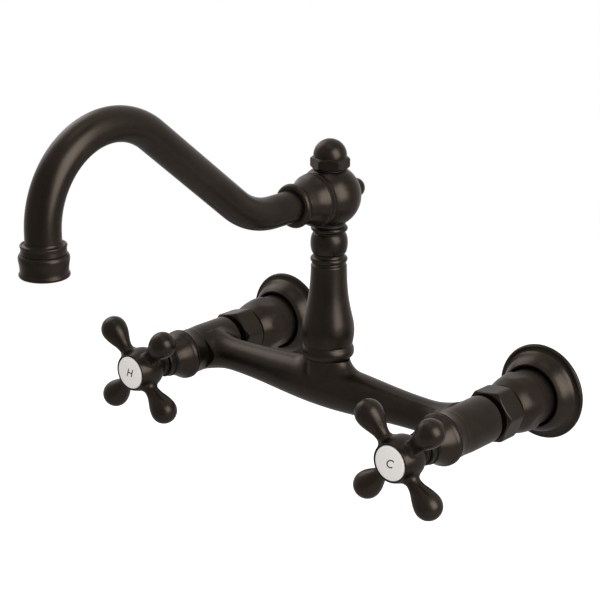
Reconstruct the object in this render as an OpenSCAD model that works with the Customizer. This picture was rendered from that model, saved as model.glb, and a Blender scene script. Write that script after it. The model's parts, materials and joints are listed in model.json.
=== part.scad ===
// Wall-mounted bridge faucet for a vessel sink: two cross handles, a turned column
// and a high arched spout that swivels.
// Origin: on the wall, halfway between the two inlets. +X is the cold side, -Y points
// out of the wall, +Z is up. Both valve axes lie in the plane z = 0.

/* [Layout] */
// Distance between the two inlet axes
inlet_spacing = 203.2; // [190:0.2:230]
// Distance of the bridge bar's axis in front of the valve bodies' rear faces
bar_setback = 18.5; // [17:0.5:22]
// Turn of the spout and ball about the column, 0 is straight out
spout_turn = 0; // [-100:5:100]

/* [Wall flange] */
// Outer radius of the flange
flange_r = 29.1; // [27:0.1:34]
// Height of the flange's inner edge above the wall
flange_h = 12.8; // [10:0.1:16]
// Radius of the deep recess round the connector
flange_recess_r = 18.6; // [18.4:0.1:20]
// Thickness of the flange's shell and web
flange_wall = 1.6; // [1:0.1:2]
// Height of the rounded rim on the wall
flange_rim_h = 2.6; // [2:0.1:3.5]
// Clearance of the flange round the connector's neck
flange_clearance = 0.1; // [0.05:0.05:0.3]

/* [Inlet connector] */
// Radius of the pipe thread behind the wall (G 1/2, 20.955 mm across)
stud_r = 10.48; // [8:0.01:11]
// Length of the pipe thread behind the wall
stud_len = 15; // [8:0.5:30]
// Radius of the plain neck in front of the wall
neck_r = 12.4; // [11.5:0.1:14]
// Distance from the wall to the wrench hexagon
neck_len = 21.5; // [18:0.1:40]
// Wrench size of the connector's hexagon, across flats
hex_af = 34; // [30:0.1:35]
// Radius that the hexagon's corners are turned to
hex_turned_r = 18; // [17:0.1:18.3]
// Length of the hexagon with its rounded shoulder
hex_len = 19; // [16:0.1:26]
// Radius at the front end of the rounded shoulder
shoulder_r = 14.6; // [13.8:0.1:15]
// Radius of the union thread (G 3/4, 26.44 mm across)
union_thread_r = 13.2; // [12.5:0.1:13.4]
// Length of the union thread
union_thread_len = 9.5; // [8:0.1:14]
// Radius of the waterway through the connector
inlet_bore_r = 7; // [5:0.1:7.5]
// Turn of the hot connector's hexagon
hot_hex_turn = 49; // [0:1:59]
// Turn of the cold connector's hexagon
cold_hex_turn = 5; // [0:1:59]

/* [Union] */
// Wrench size of the union nut, across flats
nut_af = 29.6; // [29:0.1:32]
// Radius that the nut's corners are turned to
nut_turned_r = 16.7; // [16:0.1:17]
// Open gap between the shoulder and the nut
nut_gap = 0.9; // [0.4:0.1:2]
// Thickness of the nut's front lip
nut_lip = 3; // [2:0.1:4]
// Radial clearance of the nut's thread
thread_clearance = 0.05; // [0.02:0.01:0.1]
// Thickness of the flat union washer
washer_t = 1.6; // [1:0.1:3]
// Thickness of the tailpiece's flange
tail_flange_t = 2.4; // [1.5:0.1:4]
// Radius of the tailpiece where it leaves the nut
tail_r = 9.6; // [9:0.1:10.4]
// Length of tailpiece that shows between nut and valve body
tail_gap = 3.5; // [2:0.1:8]
// Radius of the tailpiece's thread in the valve body
tail_thread_r = 8.6; // [7.5:0.1:9]
// Length of the tailpiece's thread in the valve body
tail_thread_len = 9; // [6:0.1:10]
// Radius of the waterway through the tailpiece
tail_bore_r = 6.5; // [5:0.1:6.8]
// Turn of the hot union nut
hot_nut_turn = 15; // [0:1:59]
// Turn of the cold union nut
cold_nut_turn = 7; // [0:1:59]

/* [Bridge body] */
// Radius of the straight part of the valve bodies
valve_body_r = 14.25; // [14:0.05:15]
// Radius of the slim part behind the flare
valve_waist_r = 13.6; // [13.4:0.1:14]
// Radius of the flared front end
valve_flare_r = 15.5; // [15:0.1:16.5]
// Length of a valve body from its rear face to its front face
valve_body_len = 40.1; // [39:0.1:46]
// Length of the concave flare at the front
flare_len = 9.3; // [8:0.1:10]
// Radius of the bridge bar at its middle
bar_mid_r = 13.7; // [13.3:0.1:14]
// Radius of the bridge bar at its slimmest place
bar_end_r = 10; // [8.5:0.1:10.5]
// Distance from the valve axis to the bar's slimmest place
bar_neck = 27; // [24:0.5:34]
// Radius of the fillet between bar and valve body
bar_fillet_r = 28; // [20:0.5:32]
// Radius of the boss under the column
boss_r = 13; // [12.8:0.1:13.2]
// Height of the boss's top above the bar's axis
boss_h = 18.3; // [17:0.1:21]
// Radius of the bend that fills the corner between boss and bar
crotch_bend_r = 22; // [20:0.5:26]
// Radius of the waterway along the bar
bar_bore_r = 5.5; // [4:0.1:6]

/* [Valve cartridge] */
// Radius of the cartridge body
cartridge_r = 9.4; // [9:0.1:9.8]
// Distance from the tailpiece's thread to the seat face
seat_wall = 3.5; // [2.5:0.1:4]
// Radius of the port in the seat
seat_port_r = 4.6; // [3:0.1:5]
// Thickness of the seat seal
seal_t = 1.8; // [1.2:0.1:2.5]
// Radius of the ceramic discs
disc_r = 7.5; // [7.2:0.1:7.8]
// Thickness of each ceramic disc
disc_t = 2.5; // [2:0.1:3]
// Radial clearance round the ceramic discs
disc_clearance = 0.1; // [0.05:0.05:0.2]
// Radius of the valve stem
stem_r = 4; // [3.5:0.1:4.5]
// Radial clearance of the stem in its bore
stem_clearance = 0.05; // [0.02:0.01:0.09]
// Wrench size of the cartridge's hexagon, across flats
cartridge_af = 19; // [18:0.1:20]
// Radius of the cartridge's flange on the valve body
cartridge_flange_r = 11.9; // [11.5:0.1:12.2]
// Radius of the cartridge's front thread
gland_thread_r = 7.6; // [7.2:0.1:8]

/* [Bonnet] */
// Length of the domed bonnet
bonnet_len = 13; // [12:0.1:16]
// Radius of the bonnet's front edge
bonnet_front_r = 10.3; // [10:0.1:11]
// Wall of the bonnet
bonnet_wall = 1.6; // [1.2:0.1:1.8]
// Length of the ring nut that holds the bonnet
ring_nut_len = 6.2; // [5.5:0.1:8]
// Radius of the ring nut's skirt
ring_nut_r = 9.8; // [9:0.1:10]
// Gap between the ring nut and the turning handle
handle_gap = 0.5; // [0.4:0.1:1.5]

/* [Handles] */
// Length of a handle's hub along the valve axis
hub_len = 25.7; // [24:0.1:30]
// Largest radius of the hub
hub_r = 13.3; // [12.8:0.1:14]
// Radius of the hub's neck
hub_neck_r = 8; // [7.5:0.1:9]
// Distance from the hub's front face back to the arms' plane
arm_setback = 7.8; // [7:0.1:9]
// Distance from the valve axis to the middle of a bulb
bulb_reach = 30.1; // [28:0.1:36]
// Radius of a bulb
bulb_r = 8.1; // [7:0.1:9]
// Radius of an arm at its slimmest place
arm_neck_r = 4.2; // [3.5:0.1:5]
// Distance from the valve axis to the arm's slimmest place
arm_neck_at = 15.6; // [15:0.1:17]
// Radius of the porcelain index button
button_r = 10.2; // [9.5:0.1:10.4]
// Thickness of the index button's rim
button_t = 2.6; // [2:0.1:3]
// Clearance between index button and its recess
button_clearance = 0.1; // [0.05:0.05:0.2]
// Height of the button's crown
button_crown = 0.5; // [0.2:0.1:1]
// Radius of the handle screw's head
screw_head_r = 4; // [3.5:0.1:5]
// Radius of the handle screw's shank
screw_r = 1.9; // [1.5:0.1:2]
// Number of teeth on the stem's spline
spline_teeth = 20; // [12:1:24]
// Depth of the spline's teeth
spline_depth = 0.5; // [0.3:0.1:0.6]

/* [Column] */
// Height of the column from the boss to the ball's washer
column_len = 82; // [78:0.5:120]
// Radius of the ring at the column's foot
foot_ring_r = 15.8; // [15:0.1:17]
// Largest radius of the pear-shaped part
pear_r = 15.75; // [14.5:0.1:16.5]
// Radius at the slim top of the pear-shaped part
pear_top_r = 10.6; // [10:0.1:11.5]
// Radius of the middle ring
mid_ring_r = 11; // [10.5:0.1:12]
// Radius of the barrel between the two upper rings
barrel_r = 11; // [10.5:0.1:12]
// Radius of the top ring
top_ring_r = 10.9; // [10.5:0.1:12]
// Radius of the threaded spigot under the column
spigot_r = 9; // [8.5:0.1:9.5]
// Length of the threaded spigot under the column
spigot_len = 9; // [7:0.1:10]
// Radius of the waterway in the column
column_bore_r = 5; // [4:0.1:5.5]

/* [Swivel] */
// Radius of the ball
ball_r = 18.45; // [18:0.05:20]
// Height of the ball's centre above its foot
ball_seat = 16.9; // [16.5:0.1:17.3]
// Radius of the swivel post
post_r = 6.5; // [6:0.1:6.8]
// Radial running clearance of the ball on the post
swivel_clearance = 0.06; // [0.02:0.01:0.1]
// Thickness of the thrust washer under the ball
thrust_t = 0.6; // [0.4:0.1:1.5]
// Thickness of the washer on top of the ball
cap_washer_t = 0.5; // [0.4:0.1:1.5]
// Depth that the post is screwed into the column
post_depth = 16; // [12:0.5:20]
// Radius of the post's top thread
post_thread_r = 5; // [4:0.1:5.5]
// Wrench size of the cap nut, across flats
cap_af = 20.6; // [20:0.1:22]
// Height of the cap nut's hexagon
cap_hex_h = 7; // [6:0.1:9]
// Radius of the cap nut's dome
cap_dome_r = 9.8; // [9.2:0.1:10]
// Turn of the cap nut
cap_turn = 41; // [0:1:59]
// Radius of the plug's round head at the back of the ball
plug_r = 5.8; // [5:0.1:6.5]

/* [Spout] */
// Reach of the outlet's axis from the column's axis
spout_reach = 217; // [200:1:260]
// Outer radius of the spout tube
tube_r = 9.3; // [8.8:0.05:9.3]
// Wall of the spout tube
tube_wall = 1.3; // [0.8:0.1:1.6]
// Angle of the rising straight part
rise_angle = 38.9; // [34:0.1:42]
// Radius of the first bend
rise_bend_r = 49; // [42:0.5:55]
// Radius of the arch over the outlet
arch_r = 46; // [42:0.5:50]
// Height of the arch's centre above the ball's centre
arch_up = 24.8; // [22:0.2:34]
// Distance from the outlet's lower edge up to the arch's centre
outlet_drop = 22.8; // [20:0.1:30]
// Radius of the boss on the front of the ball
ball_boss_r = 15.5; // [15:0.1:15.6]
// Distance from the column's axis to the end of the boss
ball_boss_len = 14.6; // [14:0.1:16]
// Length of the domed cap over the joint
cap_len = 14.4; // [13:0.1:18]
// Radius of the cap's front end
cap_front_r = 11.7; // [11.2:0.1:12.2]
// Radius of the round collar on the tube
collar_r = 12.9; // [12.2:0.1:14]
// Thickness of the round collar along the tube
collar_t = 5; // [4:0.1:6]
// Gap between cap and collar
collar_gap = 0.3; // [0.1:0.1:0.6]

/* [Outlet] */
// Radius of the outlet's bottom bead
outlet_bead_r = 12.9; // [12.4:0.1:14]
// Radius of the outlet's waist
outlet_waist_r = 12.25; // [12:0.05:12.3]
// Height of the screwed outlet shell
outlet_h = 12; // [11:0.1:15]
// Height of the collar above the outlet shell
outlet_collar_h = 5; // [4.5:0.1:8]
// Radius of the collar above the outlet shell
outlet_collar_r = 11.8; // [11.5:0.1:12]
// Radius of the outlet's thread
outlet_thread_r = 10.9; // [10.8:0.1:11.1]
// Radius of the outlet's mouth
mouth_r = 9.6; // [9:0.1:9.8]
// Thickness of the lip round the mouth
mouth_lip = 1.3; // [1:0.1:1.8]
// Thickness of the aerator insert
insert_t = 2.3; // [2:0.1:3]
// Thickness of the aerator's washer
aerator_washer_t = 1; // [0.8:0.1:1.6]
// Radius of the holes in the aerator insert
aerator_hole_r = 0.75; // [0.5:0.05:0.8]

/* [Hidden] */
$fn = 96;
eps = 0.01;
// Hydraulic pieces are placed along the valve axis by their distance from the wall.
hex_d = neck_len;
shoulder_d = hex_d + hex_len;
thread_end_d = shoulder_d + union_thread_len;
washer_end_d = thread_end_d + washer_t;
nut_lip_d = washer_end_d + tail_flange_t;
nut_front_d = nut_lip_d + nut_lip;
nut_rear_d = shoulder_d + nut_gap;
body_rear_d = nut_front_d + tail_gap;
bar_d = body_rear_d + bar_setback;
body_front_d = body_rear_d + valve_body_len;
tail_end_d = body_rear_d + tail_thread_len;
seat_d = tail_end_d + seat_wall;
seal_end_d = seat_d + seal_t;
disc_mid_d = seal_end_d + disc_t;
disc_end_d = disc_mid_d + disc_t;
stem_foot_t = 2.6;
foot_play = 0.3;
chamber_end_d = disc_end_d + stem_foot_t + foot_play;
cartridge_flange_t = 1.6;
cartridge_hex_h = 4;
bonnet_end_d = body_front_d + bonnet_len;
ring_flange_t = 1.8;
ring_end_d = bonnet_end_d + ring_nut_len;
hub_rear_d = ring_end_d + handle_gap;
hub_front_d = hub_rear_d + hub_len;
arm_d = hub_front_d - arm_setback;
button_d = hub_front_d - button_t;
pocket_depth = 5;
pocket_r = 6.2;
pocket_d = button_d - pocket_depth;
socket_end_d = pocket_d - 3.5;
spline_end_d = socket_end_d - 0.5;
spline_start_d = hub_rear_d + 1;
spline_r = stem_r - 0.15;
spline_clearance = 0.05;
screw_hole_r = screw_r + 0.3;
screw_len = 14;
// Heights on the column's axis.
column_z = boss_h;
column_top_z = column_z + column_len;
ball_foot_z = column_top_z + thrust_t;
ball_z = ball_foot_z + ball_seat;
ball_top_flat_r = 9.6;
ball_top_z = ball_z + sqrt(ball_r * ball_r - ball_top_flat_r * ball_top_flat_r);
cap_z = ball_top_z + cap_washer_t;
dome_z = cap_z + cap_hex_h + 0.6;
post_foot_z = column_top_z - post_depth;
post_top_z = dome_z + 4;
chamber_half = tube_r - tube_wall + 0.7;
chamber_low_z = ball_z - chamber_half;
chamber_high_z = ball_z + chamber_half;
chamber_r = 10;
ball_foot_r = 9.6;
ball_cut_r = ball_foot_r - 0.4;
ball_cut_z = ball_z - sqrt(ball_r * ball_r - ball_cut_r * ball_cut_r);
// Distances along the spout from the column's axis.
cap_thread_r = 11;
gasket_s = ball_boss_len + 4;
gasket_t = 1.2;
tube_start_s = gasket_s + gasket_t;
tube_flange_t = 1.7;
cap_lip_s = tube_start_s + tube_flange_t;
cap_end_s = ball_boss_len + cap_len;
collar_s = cap_end_s + collar_gap;
tube_fit = 0.05;
arch_z = ball_z + arch_up;
arch_s = spout_reach - arch_r;
arch_start = [arch_s - arch_r * sin(rise_angle), arch_z + arch_r * cos(rise_angle)];
rise_start_z = ball_z + rise_bend_r * (1 - cos(rise_angle));
rise_len = (arch_start[1] - rise_start_z) / sin(rise_angle);
bend_s = arch_start[0] - rise_len * cos(rise_angle) - rise_bend_r * sin(rise_angle);
outlet_z = arch_z - outlet_drop;
insert_z = outlet_z + mouth_lip;
aerator_washer_z = insert_z + insert_t;
tube_end_z = aerator_washer_z + aerator_washer_t;
outlet_collar_z = outlet_z + outlet_h;
outlet_top_z = outlet_collar_z + outlet_collar_h;

body_bronze = [0.17, 0.14, 0.12];
brass = [0.78, 0.62, 0.30];
rubber = [0.08, 0.08, 0.08];
ceramic_white = [0.93, 0.91, 0.88];
alumina = [0.85, 0.80, 0.74];
plastic_grey = [0.55, 0.56, 0.58];
plastic_black = [0.10, 0.10, 0.10];

// Points on an arc from angle a0 to angle a1.
function arc(cx, cy, r, a0, a1, n = 8) =
    [for (i = [0:n]) let (a = a0 + (a1 - a0) * i / n) [cx + r * cos(a), cy + r * sin(a)]];

// Points on a cubic curve that leaves p0 towards p1 and reaches p3 from p2.
function curve(p0, p1, p2, p3, n = 8) =
    [for (i = [0:n]) let (t = i / n, u = 1 - t)
        u * u * u * p0 + 3 * u * u * t * p1 + 3 * u * t * t * p2 + t * t * t * p3];

// Turns local z into the distance from the wall, with local y upwards.
module on_valve(side) {
    translate([side * inlet_spacing / 2, 0, 0]) rotate([90, 0, 0]) children();
}

// A profile of [radius, distance from the wall] points, turned about a valve axis.
module turned(points) {
    rotate_extrude() polygon(points);
}

module ring(r_out, r_in, z0, z1) {
    translate([0, 0, z0]) linear_extrude(z1 - z0) difference() {
        circle(r_out);
        circle(r_in);
    }
}

module rod(r, z0, z1) {
    translate([0, 0, z0]) cylinder(r = r, h = z1 - z0);
}

module hexagon(af, z0, z1, turn = 0) {
    rotate([0, 0, turn]) translate([0, 0, z0])
        cylinder(r = af / sqrt(3), h = z1 - z0, $fn = 6);
}

// The body of revolution that chamfers a hexagon's corners at both ends.
module corner_turning(af, turned_r, z0, z1, chamfer) {
    turned([[0, z0], [af / 2 - 0.3, z0], [turned_r, z0 + chamfer],
            [turned_r, z1 - chamfer], [af / 2 - 0.3, z1], [0, z1]]);
}

module oring(centre_r, cord_r, z) {
    translate([0, 0, z]) rotate_extrude() translate([centre_r, 0]) circle(cord_r, $fn = 32);
}

// Places the spout: local x runs from the column's axis to the outlet.
module on_spout() {
    translate([0, -bar_d, 0]) rotate([0, 0, -90 + spout_turn]) children();
}

// Turns local z into the spout's direction at the height of the ball's centre.
module along_spout() {
    on_spout() translate([0, 0, ball_z]) rotate([0, 90, 0]) children();
}

module on_column() {
    translate([0, -bar_d, 0]) children();
}

// Wall flange: rounded rim, cove, domed ogee and a deep recess with a web.
module wall_flange(side) {
    rim_r = flange_rim_h / 2;
    cove = [flange_r - 4.6, flange_rim_h + 1.4];
    top = [flange_recess_r + 1.4, flange_h - 0.4];
    outer = concat(
        [[flange_r - 2.4, 0], [flange_r - 0.6, 0]],
        arc(flange_r - rim_r, rim_r, rim_r, -40, 80, 6),
        curve([flange_r - 1.9, flange_rim_h - 0.2], [flange_r - 2.6, flange_rim_h - 0.3],
              [cove[0] + 0.9, cove[1] - 1.3], cove, 6),
        curve(cove, [cove[0] - 1.2, cove[1] + 1.8], [top[0] + 2.4, top[1] - 1.6], top, 8));
    inside = [
        [flange_recess_r + 0.7, flange_h], [flange_recess_r, flange_h - 0.3],
        [flange_recess_r, 2 * flange_wall], [neck_r + flange_clearance, 2 * flange_wall],
        [neck_r + flange_clearance, flange_wall], [flange_recess_r + flange_wall, flange_wall],
        [flange_recess_r + flange_wall, flange_h - 3.2],
        [flange_recess_r + 3.4, cove[1] + 1.6], [cove[0] - 0.8, cove[1] - 1.6],
        [flange_r - 3.4, flange_wall]
    ];
    color(body_bronze) on_valve(side) turned(concat(outer, inside));
}

// Inlet connector: pipe thread, neck, hexagon with a rounded shoulder, union thread.
module inlet_connector(side, hex_turn) {
    dome_start = hex_d + 7;
    body = concat(
        [[0, -stud_len], [stud_r - 1.2, -stud_len], [stud_r, -stud_len + 1.2], [stud_r, 0],
         [neck_r, 0], [neck_r, hex_d + 1]], [[0, hex_d + 1]]);
    shoulder = concat(
        [[0, hex_d], [hex_turned_r - 1, hex_d], [hex_turned_r, hex_d + 1]],
        curve([hex_turned_r, dome_start], [hex_turned_r, dome_start + 4.5],
              [shoulder_r + 1.6, shoulder_d - 3], [shoulder_r, shoulder_d - 0.4], 8),
        [[shoulder_r - 0.4, shoulder_d], [0, shoulder_d]]);
    thread = [
        [0, shoulder_d - 1], [union_thread_r, shoulder_d - 1],
        [union_thread_r, thread_end_d - 0.8], [union_thread_r - 0.8, thread_end_d],
        [0, thread_end_d]
    ];
    color(body_bronze) on_valve(side) difference() {
        union() {
            turned(body);
            intersection() {
                turned(shoulder);
                hexagon(hex_af, hex_d - 1, shoulder_d + 1, hex_turn);
            }
            turned(thread);
        }
        rod(inlet_bore_r, -stud_len - 1, thread_end_d + 1);
    }
}

// Union nut: hexagon with a threaded bore and a front lip over the tailpiece's flange.
module union_nut(side, turn) {
    color(body_bronze) on_valve(side) difference() {
        intersection() {
            hexagon(nut_af, nut_rear_d, nut_front_d, turn);
            corner_turning(nut_af, nut_turned_r, nut_rear_d, nut_front_d, 1.6);
        }
        rod(union_thread_r + thread_clearance, nut_rear_d - 1, nut_lip_d);
        rod(tail_r + thread_clearance, nut_rear_d - 1, nut_front_d + 1);
    }
}

module union_washer(side) {
    color(rubber) on_valve(side)
        ring(union_thread_r - 0.9, inlet_bore_r + 0.3, thread_end_d, washer_end_d);
}

// Tailpiece: flange inside the nut, plain part and thread in the valve body.
module tailpiece(side) {
    color(body_bronze) on_valve(side) difference() {
        turned([[0, washer_end_d], [union_thread_r - 0.3, washer_end_d],
                [union_thread_r - 0.3, nut_lip_d], [tail_r, nut_lip_d], [tail_r, body_rear_d],
                [tail_thread_r, body_rear_d], [tail_thread_r, tail_end_d], [0, tail_end_d]]);
        rod(tail_bore_r, washer_end_d - 1, tail_end_d + 1);
    }
}

// Valve body: straight barrel, waist, edge and concave flare, all turned.
module valve_barrel(side) {
    flare_d = body_front_d - flare_len;
    waist_d = flare_d - 3;
    points = concat(
        [[0, body_rear_d], [valve_body_r - 1.6, body_rear_d]],
        arc(valve_body_r - 1.4, body_rear_d + 1.4, 1.4, -80, 0, 4),
        curve([valve_body_r, body_rear_d + 20], [valve_body_r, body_rear_d + 24],
              [valve_waist_r + 0.2, waist_d - 4], [valve_waist_r + 0.1, waist_d], 5),
        [[valve_waist_r, waist_d + 1.4], [valve_waist_r + 0.55, waist_d + 2.6],
         [valve_waist_r + 0.6, flare_d], [valve_waist_r + 0.2, flare_d + 0.5]],
        curve([valve_waist_r + 0.25, flare_d + 0.8], [valve_waist_r + 0.35, flare_d + 4],
              [valve_flare_r - 0.8, body_front_d - 3], [valve_flare_r, body_front_d - 1], 6),
        [[valve_flare_r, body_front_d - 0.35], [valve_flare_r - 0.35, body_front_d],
         [0, body_front_d]]);
    on_valve(side) turned(points);
}

// Radius of the bridge bar at a distance x from the middle.
function bar_neck_x() = inlet_spacing / 2 - bar_neck;
function bar_radius(x) =
    bar_end_r + (bar_mid_r - bar_end_r) * pow(cos(90 * min(x / bar_neck_x(), 1)), 2);

// Half of the bar with its fillet into the valve body, turned about the bar's axis.
module bar_half(side) {
    fillet_x = inlet_spacing / 2 - valve_body_r - 9.3;
    points = concat(
        [[0, 0]],
        [for (i = [0:14]) let (x = bar_neck_x() * i / 14) [bar_radius(x), x]],
        arc(bar_end_r + bar_fillet_r, fillet_x, bar_fillet_r, 180, 152, 6),
        [[0, fillet_x + bar_fillet_r * sin(28)]]);
    rotate([0, side * 90, 0]) turned(points);
}

// A quarter bend that rounds the inner corner between the boss and the bar.
module crotch_bend(side) {
    mirror([side < 0 ? 1 : 0, 0, 0]) translate([crotch_bend_r, 0, crotch_bend_r])
        rotate([90, 0, 0]) rotate([0, 0, 180]) rotate_extrude(angle = 90)
        translate([crotch_bend_r, 0]) circle(bar_radius(crotch_bend_r) - 0.05);
}

module valve_chambers(side) {
    on_valve(side) {
        rod(tail_thread_r + thread_clearance, body_rear_d - 1, tail_end_d);
        rod(seat_port_r, tail_end_d - 1, seat_d + 1);
        rod(cartridge_r + thread_clearance, seat_d, body_front_d + 1);
        rod(cartridge_r + 1.2, seat_d + 2.5, chamber_end_d + 1.5);
    }
}

// Bridge body: one casting of bar, boss and the two valve bodies, with its waterways.
module bridge_body() {
    color(body_bronze) difference() {
        union() {
            valve_barrel(-1);
            valve_barrel(1);
            on_column() {
                bar_half(-1);
                bar_half(1);
                intersection() {
                    union() {
                        crotch_bend(-1);
                        crotch_bend(1);
                    }
                    translate([-60, -60, -5]) cube([120, 120, boss_h + 5 - 0.6]);
                }
                turned([[0, 0], [boss_r, 0], [boss_r, boss_h - 0.5], [boss_r - 0.5, boss_h],
                        [0, boss_h]]);
            }
        }
        valve_chambers(-1);
        valve_chambers(1);
        on_column() {
            rotate([0, 90, 0]) rod(bar_bore_r, -inlet_spacing / 2, inlet_spacing / 2);
            rod(column_bore_r, 0, boss_h + 1);
            rod(spigot_r + thread_clearance, boss_h - spigot_len, boss_h + 1);
        }
    }
}

// Column: foot ring, pear, middle ring, barrel and top ring, turned in one piece.
module column() {
    z0 = column_z;
    z1 = column_top_z;
    ring_z = z1 - 21;
    foot = concat(
        [[0, z0 - spigot_len], [spigot_r - 0.6, z0 - spigot_len],
         [spigot_r, z0 - spigot_len + 0.6], [spigot_r, z0], [boss_r - 0.1, z0],
         [boss_r, z0 + 0.5], [boss_r + 1.3, z0 + 1]],
        arc(foot_ring_r - 3.2, z0 + 4.4, 3.2, -60, 62, 7),
        [[foot_ring_r - 1.5, z0 + 8.1], [foot_ring_r - 1.25, z0 + 8.7]]);
    pear = concat(
        curve([foot_ring_r - 0.9, z0 + 9.2], [pear_r - 0.2, z0 + 11.4],
              [pear_r, z0 + 13], [pear_r, z0 + 16], 5),
        curve([pear_r, z0 + 16.5], [pear_r, z0 + 24.5], [pear_top_r + 0.9, z0 + 36],
              [pear_top_r, ring_z - 3], 12),
        [[pear_top_r, ring_z - 2.2], [pear_top_r - 0.8, ring_z - 1.2]]);
    upper = concat(
        arc(mid_ring_r - 2, ring_z + 1.2, 2, -80, 80, 6),
        [[mid_ring_r - 1.7, ring_z + 3.7]],
        curve([barrel_r - 1.3, ring_z + 4.2], [barrel_r - 0.2, ring_z + 6.5],
              [barrel_r + 0.05, ring_z + 8], [barrel_r, ring_z + 10], 5),
        curve([barrel_r, ring_z + 10.4], [barrel_r - 0.2, ring_z + 13],
              [barrel_r - 0.6, ring_z + 14.6], [barrel_r - 1.1, ring_z + 16], 4),
        [[barrel_r - 1.8, ring_z + 16.6]],
        arc(top_ring_r - 1.6, ring_z + 18.4, 1.6, -80, 70, 6),
        [[top_ring_r - 0.9, z1 - 0.5], [top_ring_r - 1.1, z1], [0, z1]]);
    color(body_bronze) on_column() difference() {
        turned(concat(foot, pear, upper));
        rod(column_bore_r, z0 - spigot_len - 1, z1);
        rod(post_r + thread_clearance, post_foot_z, z1 + 1);
    }
}

// Swivel post: hollow, with windows into the ball, two seal grooves and a top thread.
module swivel_post() {
    window = 4.2;
    groove_r = post_r - 1.55;
    color(brass) on_column() difference() {
        union() {
            rod(post_r, post_foot_z, ball_top_z);
            rod(post_thread_r, ball_top_z - 1, post_top_z);
        }
        rod(column_bore_r - 0.8, post_foot_z - 1, chamber_high_z - 1);
        for (a = [0, 90])
            rotate([0, 0, a]) translate([-window / 2, -post_r - 1, ball_z - 5])
                cube([window, 2 * post_r + 2, 10]);
        for (z = [chamber_low_z - 4, chamber_high_z + 4])
            ring(post_r + 1, groove_r, z - 0.85, z + 0.85);
    }
}

module post_orings() {
    cord_r = 0.76;
    color(rubber) on_column()
        for (z = [chamber_low_z - 4, chamber_high_z + 4]) oring(post_r - cord_r, cord_r, z);
}

module thrust_washer() {
    color(plastic_black) on_column()
        ring(ball_foot_r - 0.3, post_r + 0.1, column_top_z, ball_foot_z);
}

module cap_washer() {
    color(plastic_black) on_column()
        ring(ball_top_flat_r - 0.4, post_thread_r + 0.1, ball_top_z, cap_z);
}

// Cap nut: chamfered hexagon under a dome, with a blind thread.
module cap_nut() {
    color(body_bronze) on_column() difference() {
        union() {
            intersection() {
                hexagon(cap_af, cap_z, cap_z + cap_hex_h, cap_turn);
                corner_turning(cap_af, cap_af / sqrt(3) - 0.15, cap_z, cap_z + cap_hex_h, 1.3);
            }
            turned(concat([[0, cap_z + 1], [cap_dome_r, cap_z + 1]],
                          arc(0, dome_z, cap_dome_r, 0, 90, 10)));
        }
        rod(post_thread_r + thread_clearance, cap_z - 1, post_top_z + 0.5);
    }
}

// Ball: a sphere on the post with a front boss, a bead and a threaded spigot.
module spout_ball() {
    bead_s = ball_boss_len - 1.1;
    color(body_bronze) difference() {
        union() {
            intersection() {
                along_spout() rotate([0, 0, 90]) sphere(ball_r);
                on_spout() rod(ball_r + 1, ball_cut_z, ball_top_z);
            }
            on_spout() rod(ball_foot_r, ball_foot_z, ball_z - 12);
            along_spout() turned(concat(
                [[0, 2], [ball_boss_r, 2], [ball_boss_r, bead_s - 0.9]],
                arc(ball_boss_r - 0.5, bead_s, 0.8, -60, 60, 4),
                [[ball_boss_r - 0.3, ball_boss_len - 0.2], [ball_boss_r - 0.6, ball_boss_len],
                 [cap_thread_r, ball_boss_len], [cap_thread_r, gasket_s], [0, gasket_s]]));
        }
        on_spout() {
            rod(post_r + swivel_clearance, ball_foot_z - 1, ball_top_z + 1);
            rod(chamber_r, chamber_low_z, chamber_high_z);
        }
        along_spout() {
            rod(tube_r - tube_wall - 0.4, 0, gasket_s + 1);
            rod(3.6, -ball_r - 1, -chamber_r + 1);
            rod(4.7, -ball_r - 1, -ball_r + 1.4);
        }
    }
}

// Plug that closes the drilling at the back of the ball, with a round head.
module ball_plug() {
    seat_s = ball_r - 1.4;
    color(body_bronze) along_spout() mirror([0, 0, 1]) turned(concat(
        [[0, chamber_r + 1], [3.5, chamber_r + 1], [3.5, seat_s], [4.5, seat_s],
         [4.5, ball_r + 1.3], [plug_r - 1, ball_r + 1.5]],
        arc(plug_r - 0.9, ball_r + 2.7, 0.9, -60, 0, 3),
        curve([plug_r, ball_r + 5], [plug_r, ball_r + 7.6], [plug_r - 2, ball_r + 9.4],
              [0, ball_r + 9.6], 6)));
}

module spout_gasket() {
    color(rubber) along_spout()
        ring(cap_thread_r - 0.2, tube_r - tube_wall, gasket_s, tube_start_s);
}

// Cap over the tube's flange: rounded shoulder and a concave taper to the collar.
module spout_cap() {
    s0 = ball_boss_len;
    color(body_bronze) along_spout() turned(concat(
        [[tube_r + tube_fit, cap_end_s], [tube_r + tube_fit, cap_lip_s],
         [cap_thread_r + thread_clearance, cap_lip_s], [cap_thread_r + thread_clearance, s0],
         [ball_boss_r - 0.5, s0]],
        curve([ball_boss_r - 0.1, s0 + 0.4], [ball_boss_r + 0.15, s0 + 2.2],
              [ball_boss_r - 1.1, s0 + 3.8], [ball_boss_r - 2.1, s0 + 5.8], 7),
        curve([ball_boss_r - 2.3, s0 + 6.3], [ball_boss_r - 3, s0 + 8.3],
              [cap_front_r + 0.1, s0 + 10], [cap_front_r, cap_end_s - 0.5], 6),
        [[cap_front_r - 0.3, cap_end_s]]));
}

// Round collar on the tube in front of the cap.
module spout_collar() {
    half = collar_t / 2;
    mid_s = collar_s + half;
    color(body_bronze) along_spout() turned(concat(
        [[tube_r + tube_fit, collar_s]],
        arc(collar_r - half, mid_s, half, -90, 90, 12),
        [[tube_r + tube_fit, collar_s + collar_t]]));
}

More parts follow.
